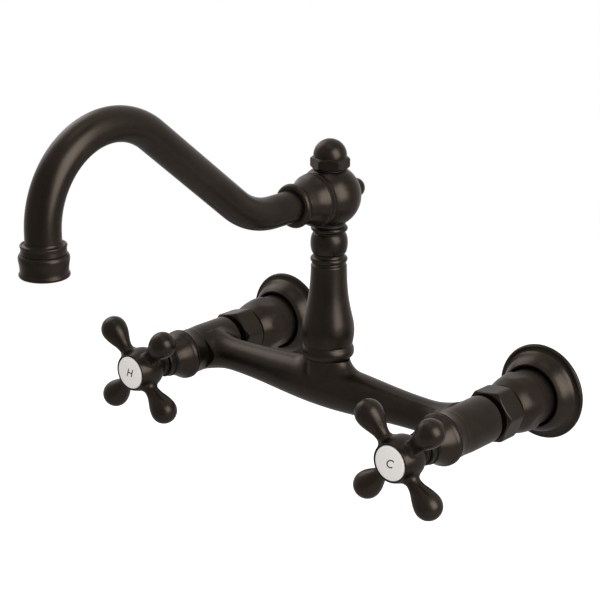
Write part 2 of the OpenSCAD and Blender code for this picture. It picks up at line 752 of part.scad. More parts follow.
module tube_bend(s, z, bend_r, from, sweep, r) {
    translate([s, 0, z]) rotate([90, 0, 0]) rotate([0, 0, from])
        rotate_extrude(angle = sweep) translate([bend_r, 0]) circle(r);
}

// A rod of radius r along the spout's path: low bend, rising straight, arch and drop.
// The rising straight is drawn slightly slimmer and reaches a little way into both bends.
module spout_run(r, from_s, to_z) {
    lap = 0.5;
    drawn = 0.1;
    along_spout() rod(r, from_s, bend_s);
    on_spout() {
        tube_bend(bend_s, ball_z + rise_bend_r, rise_bend_r, -90, rise_angle, r);
        translate([arch_start[0], 0, arch_start[1]]) rotate([0, 90 - rise_angle, 0])
            rod(r - drawn, -rise_len - lap, lap);
        tube_bend(arch_s, arch_z, arch_r, 0, 90 + rise_angle, r);
        translate([spout_reach, 0, 0]) rod(r, to_z, arch_z);
    }
}

// Spout tube: flanged end in the cap, then the bent run, hollow all the way.
module spout_tube() {
    color(body_bronze) difference() {
        union() {
            spout_run(tube_r, cap_lip_s - 0.5, tube_end_z);
            along_spout() rod(cap_thread_r - 0.1, tube_start_s, cap_lip_s);
        }
        spout_run(tube_r - tube_wall, tube_start_s - 1, tube_end_z - 1);
    }
}

module at_outlet() {
    on_spout() translate([spout_reach, 0, 0]) children();
}

// Collar brazed on the tube's end: beaded ring above, thread for the shell below.
module outlet_collar() {
    z0 = outlet_collar_z;
    z1 = outlet_top_z;
    bead = 1.1;
    color(body_bronze) at_outlet() turned(concat(
        [[tube_r + tube_fit, tube_end_z], [outlet_thread_r, tube_end_z], [outlet_thread_r, z0],
         [outlet_collar_r, z0], [outlet_collar_r, z1 - 2 * bead - 0.3],
         [outlet_collar_r - 0.3, z1 - 2 * bead]],
        arc(outlet_collar_r - bead + 0.05, z1 - bead, bead, -60, 80, 6),
        [[tube_r + 0.9, z1 - 0.1], [tube_r + 0.5, z1 - 0.7], [tube_r + tube_fit, z1 - 0.7]]));
}

// Screwed outlet shell: bottom bead, waist, swelling top and an inner lip.
module outlet_shell() {
    z = outlet_z;
    bead = 1.35;
    color(body_bronze) at_outlet() turned(concat(
        [[mouth_r, z + 0.3], [mouth_r + 0.3, z], [outlet_bead_r - bead, z]],
        arc(outlet_bead_r - bead, z + bead, bead, -60, 55, 6),
        curve([outlet_waist_r, z + 3], [outlet_waist_r - 0.05, z + 4],
              [outlet_bead_r - 0.5, z + 6.5], [outlet_bead_r - 0.05, z + outlet_h - 3.2], 5),
        curve([outlet_bead_r, z + outlet_h - 2.6], [outlet_bead_r + 0.05, z + outlet_h - 1.6],
              [outlet_bead_r - 0.3, z + outlet_h - 0.9], [outlet_collar_r + 0.4, z + outlet_h - 0.2], 4),
        [[outlet_collar_r + 0.1, z + outlet_h], [outlet_thread_r + thread_clearance, z + outlet_h],
         [outlet_thread_r + thread_clearance, aerator_washer_z],
         [outlet_thread_r - 0.3, aerator_washer_z], [outlet_thread_r - 0.3, insert_z],
         [mouth_r, insert_z]]));
}

module aerator_washer() {
    color(rubber) at_outlet()
        ring(outlet_thread_r - 0.4, tube_r - tube_wall, aerator_washer_z, tube_end_z);
}

// Aerator insert: a disc with rings of holes and a rim.
module aerator_insert() {
    plate_t = 1;
    color(plastic_grey) at_outlet() difference() {
        rod(outlet_thread_r - 0.4, insert_z, aerator_washer_z);
        rod(tube_r - tube_wall, insert_z + plate_t, aerator_washer_z + 1);
        for (i = [1:3], k = [0:6 * i - 1])
            rotate([0, 0, 60 * k / i]) translate([2.3 * i, 0, 0])
                rod(aerator_hole_r, insert_z - 1, insert_z + plate_t + 1);
    }
}

module seat_seal(side) {
    color(rubber) on_valve(side) ring(disc_r + 0.6, seat_port_r, seat_d, seal_end_d);
}

// Two opposite sector ports, as both ceramic discs have.
module disc_ports(z0, z1) {
    for (a = [0, 180]) rotate([0, 0, a]) translate([0, 0, z0]) linear_extrude(z1 - z0)
        polygon(concat(arc(0, 0, 1.4, -35, 35, 4), arc(0, 0, disc_r - 1.9, 35, -35, 6)));
}

module fixed_disc(side) {
    color(alumina) on_valve(side) difference() {
        rod(disc_r, seal_end_d, disc_mid_d);
        disc_ports(seal_end_d - 1, disc_mid_d + 1);
    }
}

// The slot across the moving disc's front that the stem's tongue drives.
module drive_slot(extra) {
    depth = 1.1;
    translate([-1.1 - extra, -disc_r - 1, disc_end_d - depth])
        cube([2.2 + 2 * extra, 2 * disc_r + 2, depth + 1]);
}

// Moving disc, shown closed: its ports lie across those of the fixed disc.
module moving_disc(side) {
    color(alumina) on_valve(side) difference() {
        rod(disc_r - disc_clearance, disc_mid_d, disc_end_d);
        rotate([0, 0, 90]) disc_ports(disc_mid_d - 1, disc_end_d + 1);
        drive_slot(0.1);
    }
}

// Cartridge body: disc chamber with windows, thread, flange, hexagon and gland thread.
module cartridge_body(side) {
    flange_end_d = body_front_d + cartridge_flange_t;
    hex_end_d = flange_end_d + cartridge_hex_h;
    gland_end_d = ring_end_d - 1.8;
    window_w = 8;
    color(brass) on_valve(side) difference() {
        union() {
            rod(cartridge_r, seal_end_d, body_front_d);
            rod(cartridge_flange_r, body_front_d, flange_end_d);
            hexagon(cartridge_af, flange_end_d - 0.5, hex_end_d);
            rod(gland_thread_r, hex_end_d - 1, gland_end_d);
        }
        rod(disc_r + disc_clearance, seal_end_d - 1, chamber_end_d);
        rod(stem_r + stem_clearance, chamber_end_d - 1, gland_end_d + 1);
        translate([-window_w / 2, -cartridge_r - 1, disc_end_d - 0.5])
            cube([window_w, 2 * cartridge_r + 2, chamber_end_d - disc_end_d]);
    }
}

// A toothed disc outline for the spline on the stem and in the handle.
module spline_outline(r) {
    n = spline_teeth;
    polygon([for (k = [0:n - 1], j = [0:3])
        let (a = 360 * (k + [0.08, 0.42, 0.58, 0.92][j]) / n,
             q = (j == 1 || j == 2) ? r : r - spline_depth)
        [q * cos(a), q * sin(a)]]);
}

// Stem: driving foot with a tongue, two seal grooves, splined end with a tapped hole.
module stem(side) {
    foot_r = disc_r - 1.1;
    color(brass) on_valve(side) difference() {
        union() {
            rod(foot_r, disc_end_d, disc_end_d + stem_foot_t);
            intersection() {
                drive_slot(0);
                rod(foot_r, disc_end_d - 1, disc_end_d + 1);
            }
            rod(stem_r, disc_end_d + 1, spline_start_d - 1);
            translate([0, 0, spline_start_d - 1.5])
                linear_extrude(spline_end_d - spline_start_d + 1.5) spline_outline(spline_r);
        }
        for (z = [chamber_end_d + 4, chamber_end_d + 9])
            ring(stem_r + 1, stem_r - 1.45, z - 0.8, z + 0.8);
        rod(screw_r + thread_clearance, pocket_d - screw_len - 0.8, spline_end_d + 1);
    }
}

module stem_orings(side) {
    cord_r = 0.72;
    color(rubber) on_valve(side)
        for (z = [chamber_end_d + 4, chamber_end_d + 9]) oring(stem_r - cord_r, cord_r, z);
}

// Bonnet: a domed shell over the cartridge's flange and hexagon.
module bonnet(side) {
    d0 = body_front_d;
    d1 = bonnet_end_d;
    inner_r = cartridge_flange_r + 0.3;
    outer = concat(
        [[inner_r, d0], [valve_flare_r - 0.5, d0]],
        curve([valve_flare_r - 0.15, d0 + 0.35], [valve_flare_r + 0.1, d0 + 2.2],
              [valve_flare_r - 0.7, d0 + 3.4], [valve_flare_r - 1.9, d0 + 5], 6),
        curve([valve_flare_r - 2.2, d0 + 5.6], [valve_flare_r - 3.4, d0 + 7.8],
              [bonnet_front_r + 0.7, d1 - 3], [bonnet_front_r, d1 - 0.5], 7),
        [[bonnet_front_r - 0.4, d1]]);
    inside = [
        [gland_thread_r + 0.15, d1], [gland_thread_r + 0.15, d1 - bonnet_wall],
        [bonnet_front_r - bonnet_wall, d1 - bonnet_wall],
        [valve_flare_r - 2.2 - bonnet_wall, d0 + 5.6], [inner_r, d0 + 3.4]
    ];
    color(body_bronze) on_valve(side) turned(concat(outer, inside));
}

// Ring nut: a thin flange on the bonnet and a skirt round the stem.
module ring_nut(side) {
    d0 = bonnet_end_d;
    d1 = ring_end_d;
    color(body_bronze) on_valve(side) turned([
        [gland_thread_r + thread_clearance, d0], [ring_nut_r + 0.5, d0], [ring_nut_r + 0.7, d0 + 0.3],
        [ring_nut_r + 0.7, d0 + ring_flange_t - 0.3], [ring_nut_r + 0.5, d0 + ring_flange_t],
        [ring_nut_r, d0 + ring_flange_t + 0.2], [ring_nut_r, d1 - 1],
        [ring_nut_r - 0.3, d1 - 0.3], [ring_nut_r - 1, d1], [stem_r + 0.5, d1],
        [stem_r + 0.5, d1 - 1.7], [gland_thread_r + thread_clearance, d1 - 1.7]]);
}

// Radius of a handle arm at a distance u from the valve axis.
function arm_radius(u) = u < arm_neck_at
    ? arm_neck_r + 2.4 * pow((arm_neck_at - u) / (arm_neck_at - 8), 2)
    : arm_neck_r + (bulb_r - arm_neck_r)
        * (1 - cos(180 * (u - arm_neck_at) / (bulb_reach - arm_neck_at))) / 2;

module handle_arm() {
    steps = 16;
    turned(concat(
        [[0, 8]],
        [for (i = [0:steps]) let (u = 8 + (bulb_reach - 8) * i / steps) [arm_radius(u), u]],
        arc(0, bulb_reach, bulb_r, 9, 90, 9)));
}

// Handle: a waisted hub with four arms that swell into round bulbs.
module handle(side) {
    d0 = hub_rear_d;
    d1 = hub_front_d;
    recess_r = button_r + button_clearance;
    hub = concat(
        [[0, d0], [hub_neck_r + 0.3, d0], [hub_neck_r + 0.6, d0 + 0.4],
         [hub_neck_r + 0.3, d0 + 1.2]],
        curve([hub_neck_r, d0 + 2.2], [hub_neck_r + 0.3, d0 + 5], [hub_r - 1, d0 + 8],
              [hub_r - 0.2, d0 + 12.2], 7),
        curve([hub_r, d0 + 13.8], [hub_r + 0.1, d1 - 7], [hub_r - 0.6, d1 - 3.6],
              [recess_r + 1.1, d1 - 0.6], 6),
        [[recess_r + 0.7, d1], [0, d1]]);
    color(body_bronze) on_valve(side) difference() {
        union() {
            turned(hub);
            for (a = [45:90:315])
                translate([0, 0, arm_d]) rotate([0, 0, a]) rotate([0, 90, 0]) handle_arm();
        }
        rod(recess_r, button_d, d1 + 1);
        rod(pocket_r, pocket_d, button_d + 1);
        rod(screw_hole_r, socket_end_d - 1, pocket_d + 1);
        rod(stem_r + 0.3, d0 - 1, spline_start_d);
        translate([0, 0, d0]) linear_extrude(socket_end_d - d0)
            spline_outline(spline_r + spline_clearance);
    }
}

module handle_screw(side) {
    head_t = 2.4;
    color(plastic_grey) on_valve(side) difference() {
        turned([[0, pocket_d - screw_len], [screw_r - 0.4, pocket_d - screw_len],
                [screw_r, pocket_d - screw_len + 0.4], [screw_r, pocket_d],
                [screw_head_r, pocket_d], [screw_head_r, pocket_d + head_t - 0.9],
                [screw_head_r - 0.9, pocket_d + head_t], [0, pocket_d + head_t]]);
        hexagon(2.5, pocket_d + 0.9, pocket_d + head_t + 1);
    }
}

// Index button: porcelain disc with a low crown and a spigot in the handle's pocket.
module index_button(side) {
    spigot_t = 2;
    crown_r = (button_r * button_r + button_crown * button_crown) / (2 * button_crown);
    edge = asin((button_r - 0.4) / crown_r);
    color(ceramic_white) on_valve(side) turned(concat(
        [[0, button_d - spigot_t], [pocket_r - 0.1, button_d - spigot_t],
         [pocket_r - 0.1, button_d], [button_r, button_d], [button_r, hub_front_d - 0.3]],
        arc(0, hub_front_d + button_crown - crown_r, crown_r, 90 - edge, 90, 5)));
}

bridge_body();
column();
swivel_post();
post_orings();
thrust_washer();
cap_washer();
cap_nut();
spout_ball();
ball_plug();
spout_gasket();
spout_cap();
spout_collar();
spout_tube();
outlet_collar();
outlet_shell();
aerator_washer();
aerator_insert();
wall_flange(-1);  // hot_wall_flange
inlet_connector(-1, hot_hex_turn);  // hot_inlet_connector
union_nut(-1, hot_nut_turn);  // hot_union_nut
union_washer(-1);  // hot_union_washer
tailpiece(-1);  // hot_tailpiece
seat_seal(-1);  // hot_seat_seal
fixed_disc(-1);  // hot_fixed_disc
cartridge_body(-1);  // hot_cartridge_body
bonnet(-1);  // hot_bonnet
ring_nut(-1);  // hot_ring_nut
moving_disc(-1);  // hot_moving_disc
stem(-1);  // hot_stem
stem_orings(-1);  // hot_stem_orings
handle(-1);  // hot_handle
handle_screw(-1);  // hot_handle_screw
index_button(-1);  // hot_index_button
wall_flange(1);  // cold_wall_flange
inlet_connector(1, cold_hex_turn);  // cold_inlet_connector
union_nut(1, cold_nut_turn);  // cold_union_nut
union_washer(1);  // cold_union_washer
tailpiece(1);  // cold_tailpiece
seat_seal(1);  // cold_seat_seal
fixed_disc(1);  // cold_fixed_disc
cartridge_body(1);  // cold_cartridge_body
bonnet(1);  // cold_bonnet
ring_nut(1);  // cold_ring_nut
moving_disc(1);  // cold_moving_disc
stem(1);  // cold_stem
stem_orings(1);  // cold_stem_orings
handle(1);  // cold_handle
handle_screw(1);  // cold_handle_screw
index_button(1);  // cold_index_button
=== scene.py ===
"""Looks of a wall-mounted bridge faucet in satin dark bronze, with porcelain index buttons.

Profiles are in millimetres, as [radius, height] points about the axis of the turned part.
The valve axes run along -Y at x = -101.6 (hot) and x = 101.6 (cold), the column's along Z.
"""

import json
import math

import bmesh
import bpy
import numpy as np
from mathutils import Matrix, Quaternion, Vector


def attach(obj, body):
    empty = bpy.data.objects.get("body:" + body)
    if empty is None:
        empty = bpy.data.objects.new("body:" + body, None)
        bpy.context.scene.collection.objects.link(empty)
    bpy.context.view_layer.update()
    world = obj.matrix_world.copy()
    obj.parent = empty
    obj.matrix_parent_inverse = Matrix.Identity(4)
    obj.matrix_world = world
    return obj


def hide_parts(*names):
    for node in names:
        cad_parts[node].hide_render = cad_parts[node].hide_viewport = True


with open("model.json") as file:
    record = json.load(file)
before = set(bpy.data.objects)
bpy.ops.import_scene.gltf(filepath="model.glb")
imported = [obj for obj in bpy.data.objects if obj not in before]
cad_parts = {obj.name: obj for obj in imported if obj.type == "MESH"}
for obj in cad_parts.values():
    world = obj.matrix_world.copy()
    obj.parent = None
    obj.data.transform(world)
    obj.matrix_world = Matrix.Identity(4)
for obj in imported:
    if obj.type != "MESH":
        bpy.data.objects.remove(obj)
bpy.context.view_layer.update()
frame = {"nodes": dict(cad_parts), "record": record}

MM = 0.001
HALF_SPACING = 101.6  # from the middle to each valve's axis
BAR_Y = -79.0  # the bar's axis, and the column's
BALL_Z = 117.8
OUTLET_Y = -296.0
PIPE_PITCH = 1.814  # 14 threads to the inch, for both pipe sizes

ROUNDING_SHARE = 0.45  # of a profile's stretch that one rounding may take
ROUNDING_STEP = 0.22  # radians between the points of a rounding
HOLD, HOLD_SHARE = 0.15, 0.2  # points beside a rounding, which keep the flats flat
SHARP_ANGLE = 0.6  # radians between two faces, from which their edge is sharp


# ---- camera ----

CAMERA_BACK = (0.6258, -0.7114, 0.3196)  # from what it looks at towards the camera
CAMERA_AIM = (-5.35, -98.44, 57.11)
CAMERA_DISTANCE = 1057.5
CAMERA_ROLL = 0.38
CAMERA_LENS = 108.29


def place_camera():
    """The photograph's viewpoint: right of the middle, a little above, with a long lens."""
    back = Vector(CAMERA_BACK).normalized()
    right = Vector((0, 0, 1)).cross(back).normalized()
    up = back.cross(right)
    roll = math.radians(CAMERA_ROLL)
    x_axis = right * math.cos(roll) + up * math.sin(roll)
    y_axis = up * math.cos(roll) - right * math.sin(roll)
    data = bpy.data.cameras.new("camera")
    data.lens = CAMERA_LENS
    data.clip_start, data.clip_end = 0.01, 50
    camera = bpy.data.objects.new("camera", data)
    bpy.context.scene.collection.objects.link(camera)
    place = Matrix((x_axis, y_axis, back)).transposed().to_4x4()
    place.translation = (Vector(CAMERA_AIM) + back * CAMERA_DISTANCE) * MM
    camera.matrix_world = place
    bpy.context.scene.camera = camera


place_camera()


# ---- places of the turned parts: local z is the axis ----

def on_valve(side):
    """Local z is the distance from the wall along a valve's axis."""
    return Matrix(((1, 0, 0, side * HALF_SPACING * MM), (0, 0, -1, 0), (0, 1, 0, 0), (0, 0, 0, 1)))


def on_column():
    return Matrix.Translation((0, BAR_Y * MM, 0))


def along_spout():
    """Local z runs forward from the column's axis at the height of the ball's centre."""
    return Matrix(((0, 1, 0, 0), (0, 0, -1, BAR_Y * MM), (-1, 0, 0, BALL_Z * MM), (0, 0, 0, 1)))


def at_outlet():
    return Matrix.Translation((0, OUTLET_Y * MM, 0))


# ---- profiles ----

def arc(r, z, radius, start, end, count=8):
    """Points on an arc of a profile, between two angles in degrees."""
    angles = [math.radians(start + (end - start) * i / count) for i in range(count + 1)]
    return [(r + radius * math.cos(a), z + radius * math.sin(a)) for a in angles]


def flowing(points, count=5):
    """A smooth line through the points."""
    pts = [Vector(p) for p in points]
    pts = [pts[0] * 2 - pts[1]] + pts + [pts[-1] * 2 - pts[-2]]
    out = []
    for a, b, c, d in zip(pts, pts[1:], pts[2:], pts[3:]):
        for i in range(count):
            t = i / count
            out.append(0.5 * (2 * b + (c - a) * t + (2 * a - 5 * b + 4 * c - d) * t * t
                              + (3 * b - a - 3 * c + d) * t ** 3))
    out.append(pts[-2])
    return [tuple(p) for p in out]


def eased(points):
    """The profile with every corner that has a third number rounded to that radius."""
    out = []
    for i, p in enumerate(points):
        here = Vector(p[:2])
        if len(p) < 3 or i in (0, len(points) - 1):
            out.append(here)
            continue
        a = Vector(points[i - 1][:2]) - here
        b = Vector(points[i + 1][:2]) - here
        half = a.angle(b) / 2
        reach = min(p[2] / math.tan(half), ROUNDING_SHARE * a.length, ROUNDING_SHARE * b.length)
        radius = reach * math.tan(half)
        centre = here + (a.normalized() + b.normalized()).normalized() * (radius / math.sin(half))
        start, end = here + a.normalized() * reach, here + b.normalized() * reach
        first = math.atan2(*(start - centre).yx)
        turn = (math.atan2(*(end - centre).yx) - first + math.pi) % (2 * math.pi) - math.pi
        hold = min(HOLD, HOLD_SHARE * (a.length - reach), HOLD_SHARE * (b.length - reach))
        out.append(start + a.normalized() * hold)
        count = max(2, round(abs(turn) / ROUNDING_STEP))
        for k in range(count + 1):
            angle = first + turn * k / count
            out.append(centre + Vector((math.cos(angle), math.sin(angle))) * radius)
        out.append(end + b.normalized() * hold)
    return out


def filled_in(points, step):
    """The profile with points added so that no stretch is longer than the step."""
    out = [points[0]]
    for a, b in zip(points, points[1:]):
        count = max(1, math.ceil((b - a).length / step))
        out += [a.lerp(b, k / count) for k in range(1, count + 1)]
    return out


# ---- shells ----

def turned(points, place, ring=False, steps=128, step=None, shape=None):
    """A shell spun from a profile. A ring's profile closes on itself."""
    line = eased(list(points) + [points[0][:2]] if ring else points)
    if step:
        line = filled_in(line, step)
    if ring:
        line = line[:-1]
    bm = bmesh.new()
    verts = [bm.verts.new((max(p[0], 0) * MM, 0, p[1] * MM)) for p in line]
    edges = [bm.edges.new(pair) for pair in zip(verts, verts[1:])]
    if ring:
        edges.append(bm.edges.new((verts[-1], verts[0])))
    bmesh.ops.spin(bm, geom=verts + edges, cent=(0, 0, 0), axis=(0, 0, 1),
                   angle=2 * math.pi, steps=steps, use_merge=True)
    bmesh.ops.remove_doubles(bm, verts=bm.verts, dist=1e-6)
    if shape:
        for v in bm.verts:
            r = math.hypot(v.co.x, v.co.y)
            if r > 1e-6:
                new = shape(r / MM, math.atan2(v.co.y, v.co.x), v.co.z / MM) * MM
                v.co.x, v.co.y = v.co.x * new / r, v.co.y * new / r
    return settled(bm, place)


def settled(bm, place=None):
    """The shell with its normals outwards, in its place, smooth but for its sharp edges."""
    bmesh.ops.recalc_face_normals(bm, faces=bm.faces)
    if place is not None:
        bm.transform(place)
    for f in bm.faces:
        f.smooth = True
    for e in bm.edges:
        e.smooth = len(e.link_faces) != 2 or e.calc_face_angle() < SHARP_ANGLE
    return bm


def six_flats(across, turn, soft=0.7):
    """Planes a turned shape to a hexagon with slightly rounded edges."""
    def shape(r, angle, z):
        off = (math.degrees(angle) - turn) % 60 - 30
        flat = across / 2 / math.cos(math.radians(off))
        near = max(soft - abs(r - flat), 0) / soft
        return min(r, flat) - near * near * soft / 4
    return shape


def thread(start, end, pitch, depth):
    """Cuts a right-hand pipe thread, with flat crests, between two heights of a turned shape."""
    def shape(r, angle, z):
        fade = min(1, max(0, (z - start) / pitch), max(0, (end - z) / pitch))
        wave = abs(2 * ((z / pitch - angle / (2 * math.pi)) % 1) - 1)
        return r - depth * fade * min(1, max(0, 1.3 * wave - 0.15))
    return shape


def gathered(shells):
    """One bmesh of all the shells. A shell may come with its material's number."""
    whole = bmesh.new()
    for shell in shells:
        bm, number = shell if isinstance(shell, tuple) else (shell, None)
        if number is not None:
            for f in bm.faces:
                f.material_index = number
        part = bpy.data.meshes.new("shell")
        bm.to_mesh(part)
        bm.free()
        whole.from_mesh(part)
        bpy.data.meshes.remove(part)
    return whole


def as_object(name, bm):
    mesh = bpy.data.meshes.new(name)
    bm.to_mesh(mesh)
    bm.free()
    obj = bpy.data.objects.new(name, mesh)
    bpy.context.scene.collection.objects.link(obj)
    return obj


def piece(name, shells, body, nodes, slot, *materials):
    """A finished piece that stands for CAD nodes."""
    obj = as_object(name, gathered(shells))
    for material in materials:
        obj.data.materials.append(material)
    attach(obj, body)
    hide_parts(*nodes)
    return obj


# ---- castings: rough shells fused into one skin, then drawn onto a filleted form ----

FLATTEST = 0.35  # keeps a fillet finite where the walls all but face each other
SQUARE_CORNER = 0.41421  # root of two, less one: the fillet's share at a square corner
LARGEST_FILLET = 1.25
PROBE = 0.02  # distance over which a form's slope is measured, each way
LONGEST_MOVE = 1.2  # of a vertex in one pass
LEAST_SLOPE = 0.2  # squared, below which a vertex isn't moved any further for it
PASSES = 5


def fillet(a, b, cosine, radius):
    """Joins two distances with a fillet of one radius, whatever the angle between the walls."""
    size = radius * (np.sqrt(2 / np.maximum(1 + cosine, FLATTEST)) - 1) / SQUARE_CORNER
    size = np.clip(size, 1e-3, LARGEST_FILLET * radius)
    far = np.maximum(size, np.minimum(a, b))
    return far - np.hypot(np.maximum(size - a, 0), np.maximum(size - b, 0))


def radius_along(points):
    """Radius and slope of a turned form at a height, from a few measured points."""
    fine = np.array(flowing(points, 24))
    slope = np.gradient(fine[:, 0], fine[:, 1])

    def at(t):
        return np.interp(t, fine[:, 1], fine[:, 0]), np.interp(t, fine[:, 1], slope)
    return at


def cast(shells, voxel, form):
    """Fuses rough shells and draws every vertex onto the form's zero surface."""
    rough = as_object("rough", gathered(shells))
    for _ in range(2):
        fuse = rough.modifiers.new("fuse", "REMESH")
        fuse.mode = "VOXEL"
        fuse.voxel_size = voxel * MM
        evaluated = rough.evaluated_get(bpy.context.evaluated_depsgraph_get())
        mesh = bpy.data.meshes.new_from_object(evaluated)
        rough.modifiers.clear()
        old, rough.data = rough.data, mesh
        bpy.data.meshes.remove(old)
        count = len(mesh.vertices)
        co = np.empty(count * 3)
        mesh.vertices.foreach_get("co", co)
        p = co.reshape(-1, 3) / MM
        for _ in range(PASSES):
            value = form(p)
            slope = np.empty_like(p)
            for k in range(3):
                step = np.zeros(3)
                step[k] = PROBE
                slope[:, k] = (form(p + step) - form(p - step)) / (2 * PROBE)
            size = np.maximum((slope ** 2).sum(1), LEAST_SLOPE)
            p = p - slope * (np.clip(value, -LONGEST_MOVE, LONGEST_MOVE) / size)[:, None]
        mesh.vertices.foreach_set("co", (p * MM).ravel())
        mesh.update()
    bm = bmesh.new()
    bm.from_mesh(rough.data)
    mesh = rough.data
    bpy.data.objects.remove(rough)
    bpy.data.meshes.remove(mesh)
    return bm


def sawn(bm, keep, point, normal):
    """Cuts the chosen faces off square at a plane, and closes the cut."""
    faces = [f for f in bm.faces if keep(f.calc_center_median() / MM)]
    verts = {v for f in faces for v in f.verts}
    edges = {e for f in faces for e in f.edges}
    cut = bmesh.ops.bisect_plane(bm, geom=list(verts | edges | set(faces)), dist=1e-6,
                                 plane_co=Vector(point) * MM, plane_no=normal, clear_outer=True)
    rim = [e for e in cut["geom_cut"] if isinstance(e, bmesh.types.BMEdge)]
    bmesh.ops.holes_fill(bm, edges=rim, sides=0)


# ---- materials ----

SPECK_SCALE, SPECK_SHARE = 900.0, 0.25
PIT_SCALE, PIT_SHARE = 2600.0, 0.4
BUMP_DEPTH = 0.0002


def feed(tree, socket, value):
    """Sets a socket to a number, or links another node's output to it."""
    if isinstance(value, (int, float)):
        socket.default_value = value
    else:
        tree.links.new(value, socket)


def new_group(name, inputs, outputs):
    group = bpy.data.node_groups.new(name, "ShaderNodeTree")
    for label, value in inputs:
        socket = group.interface.new_socket(name=label, in_out="INPUT",
                                            socket_type="NodeSocketFloat")
        socket.default_value = value
    for label in outputs:
        group.interface.new_socket(name=label, in_out="OUTPUT", socket_type="NodeSocketFloat")
    return group


def noise(tree, scale, detail, rough, coords):
    node = tree.nodes.new("ShaderNodeTexNoise")
    node.inputs["Detail"].default_value = detail
    node.inputs["Roughness"].default_value = rough
    tree.links.new(coords, node.inputs["Vector"])
    tree.links.new(scale, node.inputs["Scale"])
    return node.outputs["Fac"]


def ranged(tree, value, low, high, to_low=0.0, to_high=1.0):
    node = tree.nodes.new("ShaderNodeMapRange")
    tree.links.new(value, node.inputs["Value"])
    for label, number in (("From Min", low), ("From Max", high),
                          ("To Min", to_low), ("To Max", to_high)):
        feed(tree, node.inputs[label], number)
    return node.outputs["Result"]


def make_patina():
    """Slow cloudy variation and finer speckle of a brushed-on patina."""
    group = new_group("patina", [("Cloud Scale", 45.0), ("Speck Scale", SPECK_SCALE)],
                      ["Cloud", "Speck"])
    into, out = group.nodes.new("NodeGroupInput"), group.nodes.new("NodeGroupOutput")
    coords = group.nodes.new("ShaderNodeTexCoord").outputs["Object"]
    cloud = noise(group, into.outputs["Cloud Scale"], 5, 0.6, coords)
    speck = noise(group, into.outputs["Speck Scale"], 3, 0.6, coords)
    group.links.new(ranged(group, cloud, 0.32, 0.68), out.inputs["Cloud"])
    group.links.new(ranged(group, speck, 0.3, 0.7), out.inputs["Speck"])
    return group


def make_skin():
    """Height of a sprayed and baked skin: soft orange peel with fine pits."""
    scales = [("Peel Scale", 420.0), ("Pit Scale", PIT_SCALE), ("Pit Share", PIT_SHARE)]
    group = new_group("baked_skin", scales, ["Height"])
    into, out = group.nodes.new("NodeGroupInput"), group.nodes.new("NodeGroupOutput")
    coords = group.nodes.new("ShaderNodeTexCoord").outputs["Object"]
    peel = noise(group, into.outputs["Peel Scale"], 2, 0.5, coords)
    pits = noise(group, into.outputs["Pit Scale"], 2, 0.6, coords)
    mix = group.nodes.new("ShaderNodeMix")
    group.links.new(into.outputs["Pit Share"], mix.inputs["Factor"])
    group.links.new(peel, mix.inputs["A"])
    group.links.new(pits, mix.inputs["B"])
    group.links.new(mix.outputs["Result"], out.inputs["Height"])
    return group


PATINA = make_patina()
SKIN = make_skin()


def finish_of(name, dark, light, rough, metallic=0.0, cloud=45.0, peel=420.0, bump=0.1, **shader):
    """A finish whose colour and roughness wander between two values, on a skin's bump."""
    material = bpy.data.materials.new(name)
    material.use_nodes = True
    tree = material.node_tree
    bsdf = tree.nodes["Principled BSDF"]
    patina = tree.nodes.new("ShaderNodeGroup")
    patina.node_tree = PATINA
    patina.inputs["Cloud Scale"].default_value = cloud
    patina.inputs["Speck Scale"].default_value = SPECK_SCALE
    blend = tree.nodes.new("ShaderNodeMix")
    blend.inputs["Factor"].default_value = SPECK_SHARE
    tree.links.new(patina.outputs["Cloud"], blend.inputs["A"])
    tree.links.new(patina.outputs["Speck"], blend.inputs["B"])
    colour = tree.nodes.new("ShaderNodeMix")
    colour.data_type = "RGBA"
    colour.inputs["A"].default_value = (*dark, 1)
    colour.inputs["B"].default_value = (*light, 1)
    tree.links.new(blend.outputs["Result"], colour.inputs["Factor"])
    tree.links.new(colour.outputs["Result"], bsdf.inputs["Base Color"])
    tree.links.new(ranged(tree, blend.outputs["Result"], 0, 1, *rough), bsdf.inputs["Roughness"])
    skin = tree.nodes.new("ShaderNodeGroup")
    skin.node_tree = SKIN
    skin.inputs["Peel Scale"].default_value = peel
    skin.inputs["Pit Scale"].default_value = PIT_SCALE
    dents = tree.nodes.new("ShaderNodeBump")
    dents.inputs["Strength"].default_value = bump
    dents.inputs["Distance"].default_value = BUMP_DEPTH
    tree.links.new(skin.outputs["Height"], dents.inputs["Height"])
    tree.links.new(dents.outputs["Normal"], bsdf.inputs["Normal"])
    bsdf.inputs["Metallic"].default_value = metallic
    for label, value in shader.items():
        bsdf.inputs[label.replace("_", " ")].default_value = value
    return material


BRONZE = finish_of(
    "satin_bronze", (0.0267, 0.0204, 0.0153), (0.0396, 0.0303, 0.0228), (0.30, 0.38),
    metallic=0.9, bump=0.12, Specular_Tint=(0.8, 0.77, 0.76, 1))
# Blacker than the bronze: partly the ring nut's own darker finish, partly painted shade from the
# handle's arms above it.
BLACKER_BRONZE_FOR_SHADE = finish_of(
    "blacker_bronze_for_shade", (0.011, 0.0095, 0.0085), (0.018, 0.0155, 0.0135), (0.38, 0.48),
    metallic=0.7, bump=0.1, Specular_Tint=(0.8, 0.7, 0.62, 1))
BRASS = finish_of(
    "bare_brass", (0.66, 0.50, 0.24), (0.76, 0.60, 0.30), (0.24, 0.36), metallic=1.0, bump=0.06)
STEEL = finish_of(
    "stainless_steel", (0.50, 0.50, 0.51), (0.60, 0.60, 0.61), (0.24, 0.34),
    metallic=1.0, bump=0.05)
RUBBER = finish_of(
    "seal_rubber", (0.022, 0.022, 0.022), (0.034, 0.034, 0.033), (0.62, 0.78), bump=0.25)
PORCELAIN = finish_of(
    "glazed_porcelain", (0.81, 0.775, 0.73), (0.86, 0.82, 0.775), (0.10, 0.16),
    cloud=160.0, peel=300.0, bump=0.03)
